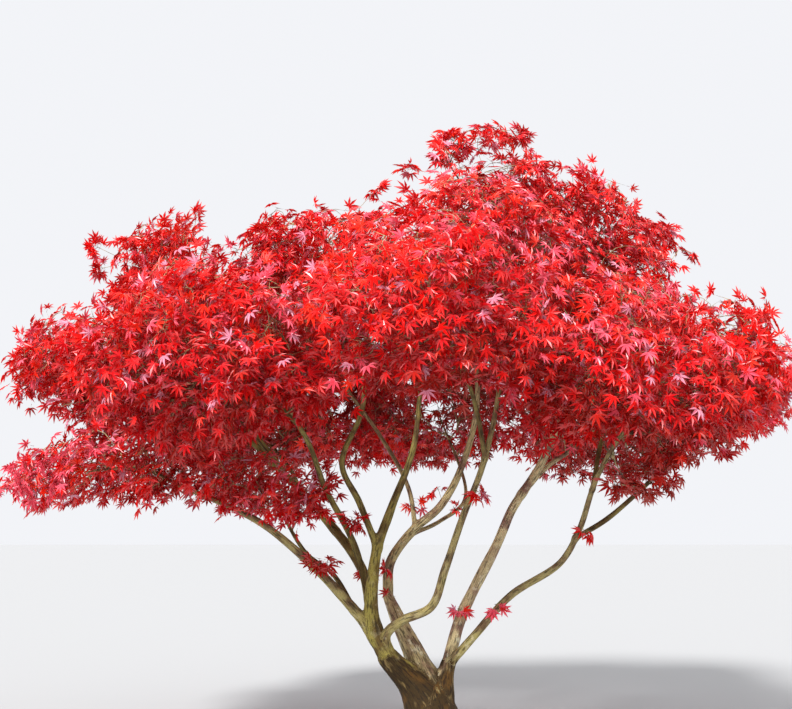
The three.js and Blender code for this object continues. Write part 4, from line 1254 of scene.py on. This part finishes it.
base, way, size = leaves["base"], leaves["way"], leaves["size"]
fits = in_box(base + way * size[:, None]) & in_box(base)
fits &= dice.uniform(0, 1, len(fits)) < leafy_shares[leaves["spray"]]
fits &= gap_to_limbs(base + way * (0.5 * size)[:, None]) > LEAF_CLEARANCE
leaves = {key: values[fits] for key, values in leaves.items()}
print(len(leaves["size"]), "leaves kept")

# %% [markdown]
# The colours of the leaves.
# Leaves are scarlet to crimson, some with an orange tint. A colour that changed over the crown by a pattern
# in the material would be lost when the leaves are exported, so each spray is dealt one of a few plain
# tints, and the
# tints paint the light and shade: bright, as painted light, where nothing covers it, and deep and browner,
# as painted shade, where the crown is thick above it, with seeded chance between. The low sprays at the
# left are dealt brighter tints as painted sunlight. Some leaves of a spray are one tint lighter or darker
# than it, and a few are dealt rose and pale pink tints as painted highlights of the light from above on
# their gloss.

# %% Materials of one plain colour
PLAIN_SHINE = 0.5  # what Blender starts with


def to_linear(colour):
    """A colour as a screen shows it, turned into amounts of light by the rule that screens follow."""
    light = (c / 12.92 if c <= 0.04045 else ((c + 0.055) / 1.055) ** 2.4 for c in colour)
    return (*light, 1)


def feed(tree, node, given):
    """Set a node's values by name or number, or link a socket where what is given is a socket."""
    for key, value in given.items():
        if isinstance(key, str) and hasattr(node, key):
            setattr(node, key, value)
        elif isinstance(value, bpy.types.NodeSocket):
            tree.links.new(value, node.inputs[key])
        else:
            node.inputs[key].default_value = value
    return node


def new_material(name):
    """A material, its node tree and its shader."""
    material = bpy.data.materials.new(name)
    material.use_nodes = True
    return material, material.node_tree, material.node_tree.nodes["Principled BSDF"]


def plain_finish(name, colour, roughness, shine=PLAIN_SHINE):
    """A finish of one colour, set on the shader itself, so that the export keeps it as it is."""
    material, tree, shader = new_material(name)
    feed(tree, shader, {"Base Color": to_linear(colour), "Roughness": roughness,
                        "Specular IOR Level": shine})
    return material


print("half of full brightness on a screen is", round(to_linear((0.5,))[0], 3), "of the light")

# %% Tints
# from rose to wine the tints run from painted light to painted shade, and the last is a painted reflection
TINTS = {
    "rose": (0.93, 0.34, 0.42),
    "ember": (0.94, 0.17, 0.06),
    "scarlet": (0.93, 0.07, 0.05),
    "crimson": (0.84, 0.05, 0.09),
    "cherry": (0.80, 0.07, 0.07),
    "deep": (0.77, 0.13, 0.08),
    "wine": (0.69, 0.15, 0.07),
    "painted_sheen": (0.88, 0.56, 0.64),
}
LEAF_ROUGHNESS = 0.36  # a satin skin
LEAF_SHINE = 0.8

leaf_materials = [
    plain_finish(f"leaf_{tint}", colour, LEAF_ROUGHNESS, LEAF_SHINE) for tint, colour in TINTS.items()
]
print(len(leaf_materials), "tints")

# %% Deal the tints out by spray, as painted light and shade
LIGHT_STEP = np.array([-60, -160, 260])  # towards the light, in millimetres
SHADE_SHARE = 0.7  # the rest of a spray's depth is the cover at its own place
CHANCE = 0.26
PAINTED_SUNLIGHT = (((-1650, -430, 1345), (500, 480, 210)),)  # low sprays given brighter tints as painted sunlight
PAINTED_SUNLIGHT_GAIN = 0.55  # how much less deep they count
TINT_BORDERS = (-0.15, -0.03, 0.36, 0.6, 0.85, 1.15)  # depth between one tint and the next

# painted shade and painted light: a spray's tint is darker the more crown covers it towards the light and
# around it
shade = cover(middles + LIGHT_STEP)
painted_shade_depth = SHADE_SHARE * shade + (1 - SHADE_SHARE) * cover(middles) + dice.normal(0, CHANCE, len(sprays))
painted_shade_depth -= PAINTED_SUNLIGHT_GAIN * inside_any(middles, PAINTED_SUNLIGHT)
spray_tint = np.digitize(painted_shade_depth, TINT_BORDERS)
print("sprays of each tint:", np.bincount(spray_tint).tolist())

# %% Vary the tint from leaf to leaf, with painted highlights and painted sheen
NEXT_TINT = (0.15, 0.7, 0.15)  # how often a leaf is a tint lighter, as its spray, or a tint darker
HIGHLIGHT_SHARE = 0.08  # painted highlight: leaves dealt the rose tint for the pale glint of light on their gloss
HIGHLIGHT_BELOW = 5  # only leaves of the lighter tints do
SHINING_SHARE = 0.05  # painted sheen: leaves dealt a pale pink tint that stands for the gloss of the light from above
SHINING_BELOW = 4
ROSE, PAINTED_SHEEN = list(TINTS).index("rose"), list(TINTS).index("painted_sheen")

leaf_count = len(leaves["spray"])
tint = spray_tint[leaves["spray"]] + dice.choice((-1, 0, 1), leaf_count, p=NEXT_TINT)
painted_highlight = (dice.uniform(0, 1, leaf_count) < HIGHLIGHT_SHARE) & (tint < HIGHLIGHT_BELOW)
shining = (dice.uniform(0, 1, leaf_count) < SHINING_SHARE) & (tint < SHINING_BELOW)
tint = np.where(painted_highlight, ROSE, np.clip(tint, 0, len(TINT_BORDERS)))
# painted reflection: these leaves take the pale pink tint of a sheen
leaves["tint"] = np.where(shining, PAINTED_SHEEN, tint)
print("leaves of each tint:", dict(zip(TINTS, np.bincount(leaves["tint"], minlength=len(TINTS)).tolist())))

# %% Build the leaves of a group of masses as one piece
LEAF_GROUPS = {
    "leaves_top": ("top_mass", "right_top_mass", "hump_mass"),
    "leaves_left": ("left_top_mass", "left_tip_mass", "left_droop_mass", "left_low_mass"),
    "leaves_front": ("front_left_mass", "front_mass", "upper_front_mass"),
    "leaves_right": ("front_right_mass", "right_mid_mass", "right_tip_mass"),
    "leaves_upper_back": ("upper_back_mass", "back_left_upper_mass", "back_right_upper_mass"),
    "leaves_back": ("back_left_mass", "back_mass", "back_right_mass"),
}


def leaves_of(group, members):
    """Make one piece of all the leaves of some masses. Returns how many triangles it has."""
    wanted = np.isin(spray_masses[leaves["spray"]], [mass_names.index(m) for m in members])
    mine = {key: values[wanted] for key, values in leaves.items()}
    way, up = mine["way"], mine["up"]
    local = leaf_kinds[mine["kind"]] * mine["size"][:, None, None]
    corners = (
        mine["base"][:, None] + local[..., :1] * np.cross(way, up)[:, None]
        + local[..., 1:2] * way[:, None] + local[..., 2:] * up[:, None]
    )
    shift = (np.arange(len(way)) * corners.shape[1])[:, None, None]
    triangles = (leaf_faces + shift).reshape(-1, 3)
    made = piece_from(group, corners.reshape(-1, 3) * MM, triangles)
    for material in leaf_materials:
        made.data.materials.append(material)
    tint = np.repeat(mine["tint"], len(leaf_faces))
    made.data.polygons.foreach_set("material_index", tint.astype(np.int32))
    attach(made, "root")
    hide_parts(*members)
    return len(triangles)


for group, members in LEAF_GROUPS.items():
    print(group, leaves_of(group, members), "triangles")

# %% Leaf stalks and twigs as pieces
STALK_RADIUS = 1.1
STALK_COLOUR = (0.55, 0.10, 0.12)
STALK_ROUGHNESS = 0.5

stalk_paths = np.stack([leaves["node"], leaves["base"]], 1)
stalk_radii = np.tile([STALK_RADIUS, 0], (leaf_count, 1))
stalk_corners, stalk_triangles = thin_tubes(stalk_paths, stalk_radii, pointed=True)
stalks = piece_from("leaf_stalks", stalk_corners * MM, stalk_triangles)
stalks.data.materials.append(plain_finish("leaf_stalk", STALK_COLOUR, STALK_ROUGHNESS))
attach(stalks, "root")
twigs = piece_from("twigs", twig_corners * MM, twig_triangles, smooth=True)
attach(twigs, "root")
print("stalks:", len(stalk_triangles), "triangles")

# %% [markdown]
# The bark's finish.
# Young maple bark is olive-brown and smooth. The thin limbs and the twigs are darkened as painted shade of
# the crown above them. Some limbs turn grey with a rosy cast, and pale patches of lichen settle on them.
# The old bark of the trunk is dark brown with rusty patches and pale ridges, and it ends in a ragged border
# where the limbs part. Where the bump is low the bark is darkened, partly as its own darker fissures and
# partly as painted shade in them. All limbs and twigs share one node group that works out colour, roughness
# and height from a place on the limb, a tone and an age.

# %% Node helpers


def add_node(tree, kind, **given):
    """A new node, with its values and links given by name."""
    return feed(tree, tree.nodes.new(kind), given)


def blend_colours(tree, amount, first, second):
    """Two colours mixed by an amount. The Mix node's sockets for colours go by number."""
    node = add_node(tree, "ShaderNodeMix", data_type="RGBA")
    return feed(tree, node, {0: amount, 6: first, 7: second}).outputs[2]


def step_between(tree, value, low, high):
    """0 below low, 1 above high, and a smooth step between."""
    node = add_node(tree, "ShaderNodeMapRange", interpolation_type="SMOOTHSTEP")
    return feed(tree, node, {"Value": value, "From Min": low, "From Max": high}).outputs["Result"]


def reckon(tree, operation, first, second):
    """Two values multiplied or added, each of which may be a socket."""
    node = add_node(tree, "ShaderNodeMath", operation=operation)
    return feed(tree, node, {0: first, 1: second}).outputs[0]


def noise_of(tree, place, stretch, scale, detail):
    """Noise at a place, stretched along the limb."""
    mapping = add_node(tree, "ShaderNodeMapping", Vector=place, Scale=(1, 1, 1 / stretch))
    texture = add_node(tree, "ShaderNodeTexNoise", Vector=mapping.outputs[0], Scale=scale, Detail=detail)
    return texture.outputs["Fac"]


print("node helpers ready")

# %% Measures of the bark's colours
BARK_COLOURS = {
    "olive": (0.66, 0.61, 0.23), "umber": (0.43, 0.36, 0.12), "painted_twig_shade": (0.30, 0.23, 0.09),
    "cream_grey": (0.86, 0.79, 0.60), "mauve": (0.60, 0.47, 0.40), "lichen": (0.95, 0.92, 0.78),
    "rust": (0.38, 0.27, 0.12), "dark_brown": (0.25, 0.19, 0.10), "pale_ridge": (0.58, 0.49, 0.31),
    "fissure_and_shade": (0.13, 0.10, 0.08),
}
BARK_NOISES = {  # stretch along the limb, scale, detail
    "patches": (1.6, 16, 3), "streaks": (7, 150, 3), "grain": (2.5, 420, 4),
    "crust": (1.2, 34, 5), "ridges": (6, 40, 3), "border": (4, 28, 3),
}
BARK_MARKS = {  # the values where a mark begins and where it is full, and its strength if below 1
    "olive": (0.40, 0.62), "painted_twig_shade": (0.38, 0.10, 0.6), "cream_grey": (0.36, 0.58),
    "lichen": (0.55, 0.63, 0.85), "lichen_age": (0.10, 0.45), "rust": (0.48, 0.68),
    "pale_ridge": (0.56, 0.66, 0.8), "old": (1.22, 1.56), "streaks": (0.50, 0.36, 0.7),
    "grain": (0.52, 0.40, 0.35),
}
BORDER_RAGGED = 1.5  # how far the border of the old bark goes up and down
BORDER_TONE = -0.15  # how much younger grey wood counts there
BARK_ROUGHNESS = (0.68, 0.92)
GRAIN_IN_HEIGHT = 0.4  # the rest of the height is streaks
BARK_SOCKETS = (("Place", "INPUT", "Vector"), ("Tone", "INPUT", "Float"), ("Age", "INPUT", "Float"),
                ("Colour", "OUTPUT", "Color"), ("Roughness", "OUTPUT", "Float"),
                ("Height", "OUTPUT", "Float"))
print(len(BARK_COLOURS), "colours in the bark")

# %% The bark group


def bark_group():
    """Colour, roughness and height of the bark, from a place on a limb, a tone and an age."""
    tree = bpy.data.node_groups.new("maple_bark", "ShaderNodeTree")
    for name, side, kind in BARK_SOCKETS:
        tree.interface.new_socket(name, in_out=side, socket_type=f"NodeSocket{kind}")
    place, tone, age = tree.nodes.new("NodeGroupInput").outputs[:3]
    colours = {name: to_linear(colour) for name, colour in BARK_COLOURS.items()}
    noises = {name: noise_of(tree, place, *values) for name, values in BARK_NOISES.items()}

    def mark(name, value, *more):
        """Where a mark shows: its step in a value, times anything more and its own strength."""
        low, high, *strength = BARK_MARKS[name]
        shown = step_between(tree, value, low, high)
        for factor in (*more, *strength):
            shown = reckon(tree, "MULTIPLY", shown, factor)
        return shown

    def laid_over(wood, colour, amount):
        return blend_colours(tree, amount, wood, colours[colour])

    patches, streaks, grain = noises["patches"], noises["streaks"], noises["grain"]
    young = laid_over(colours["umber"], "olive", mark("olive", patches))
    # painted shade: thin limbs and the twigs are darkened for the shade of the crown over them
    young = laid_over(young, "painted_twig_shade", mark("painted_twig_shade", age))
    mature = laid_over(colours["mauve"], "cream_grey", mark("cream_grey", patches))
    wood = blend_colours(tree, tone, young, mature)
    wood = laid_over(wood, "lichen", mark("lichen", noises["crust"], mark("lichen_age", age, tone)))
    old = laid_over(colours["dark_brown"], "rust", mark("rust", patches))
    old = laid_over(old, "pale_ridge", mark("pale_ridge", noises["ridges"]))
    ragged = reckon(tree, "ADD", age, reckon(tree, "MULTIPLY", noises["border"], BORDER_RAGGED))
    ragged = reckon(tree, "ADD", ragged, reckon(tree, "MULTIPLY", tone, BORDER_TONE))
    wood = blend_colours(tree, mark("old", ragged), wood, old)
    # the grooves of the bump are darkened: partly the bark's own darker fissures, partly painted shade
    wood = laid_over(wood, "fissure_and_shade", mark("streaks", streaks))
    wood = laid_over(wood, "fissure_and_shade", mark("grain", grain))
    smooth, rough = BARK_ROUGHNESS
    spread = tree.nodes.new("ShaderNodeMapRange")
    feed(tree, spread, {"Value": grain, "To Min": smooth, "To Max": rough})
    height = blend_colours(tree, GRAIN_IN_HEIGHT, streaks, grain)
    feed(tree, tree.nodes.new("NodeGroupOutput"),
         {"Colour": wood, "Roughness": spread.outputs["Result"], "Height": height})
    return tree


bark_tree = bark_group()
print("bark group has", len(bark_tree.nodes), "nodes")

# %% Bark on the limbs and twigs
BUMP_STRENGTH = 0.6
BARK_SHINE = 0.2
LIMB_BUMP = 3 * MM
TWIG_BUMP = 1 * MM
TWIG_TONE = 0.8
TWIG_AGE = 0.05


def kept_on_mesh(tree):
    """The place, tone and age that the corners of the bark keep."""
    place, tone, age = (
        add_node(tree, "ShaderNodeAttribute", attribute_name=name).outputs
        for name in ("bark_place", "bark_tone", "bark_age")
    )
    return {"Place": place["Vector"], "Tone": tone["Fac"], "Age": age["Fac"]}


def same_all_over(tree):
    """The place in the tree, with the tone and age of twigs."""
    place = tree.nodes.new("ShaderNodeTexCoord").outputs["Object"]
    return {"Place": place, "Tone": TWIG_TONE, "Age": TWIG_AGE}


def bark_finish(name, read, bump_depth):
    """Bark over a whole piece, with the place, tone and age that a function reads."""
    material, tree, shader = new_material(name)
    group = feed(tree, add_node(tree, "ShaderNodeGroup", node_tree=bark_tree), read(tree)).outputs
    bump = add_node(tree, "ShaderNodeBump", Strength=BUMP_STRENGTH, Distance=bump_depth,
                    Height=group["Height"])
    feed(tree, shader, {"Base Color": group["Colour"], "Roughness": group["Roughness"],
                        "Normal": bump.outputs["Normal"], "Specular IOR Level": BARK_SHINE})
    return material


bark_mesh.materials.clear()
bark_mesh.materials.append(bark_finish("bark_of_limbs", kept_on_mesh, LIMB_BUMP))
twigs.data.materials.append(bark_finish("bark_of_twigs", same_all_over, TWIG_BUMP))
print("nodes in the material of the limbs:", len(bark_mesh.materials[0].node_tree.nodes))

# %% [markdown]
# Floor and light.
# The tree stands on a plain pale floor. The light is that of a bright day through thin cloud: one broad sun
# from the upper left in front, and a pale sky that fills the shadows. Under the crown it stays darker,
# because the leaves above keep the light out, and that is what gives the crown its depth.

# %% Floor
FLOOR_SIZE = 60
FLOOR_COLOUR = (0.71, 0.71, 0.71)
FLOOR_ROUGHNESS = 0.9

floor_mesh = bpy.data.meshes.new("floor")
reach = FLOOR_SIZE / 2
floor_mesh.from_pydata(
    [(-reach, -reach, 0), (reach, -reach, 0), (reach, reach, 0), (-reach, reach, 0)], [], [(0, 1, 2, 3)]
)
floor_mesh.materials.append(plain_finish("pale_floor", FLOOR_COLOUR, FLOOR_ROUGHNESS))
floor = put_in_scene("floor", floor_mesh)
print("floor is", FLOOR_SIZE, "m a side")

# %% Lights
SUN_STRENGTH = 4.3
SUN_SPREAD = 12  # degrees
SUN_TURN = (48, 0, -28)  # degrees
SKY_STRENGTH = 1.08
SKY_COLOUR = (0.92, 0.925, 0.94)

sun_data = bpy.data.lights.new("sun", "SUN")
sun_data.energy = SUN_STRENGTH
sun_data.angle = math.radians(SUN_SPREAD)
sun = put_in_scene("sun", sun_data)
sun.rotation_euler = tuple(math.radians(a) for a in SUN_TURN)

world = bpy.data.worlds.new("pale_sky")
world.use_nodes = True
background = world.node_tree.nodes["Background"]
feed(world.node_tree, background, {"Color": to_linear(SKY_COLOUR), "Strength": SKY_STRENGTH})
bpy.context.scene.world = world
bpy.context.scene.view_settings.view_transform = "Standard"  # keeps the reds saturated
print("sun", SUN_STRENGTH, "and sky", SKY_STRENGTH)
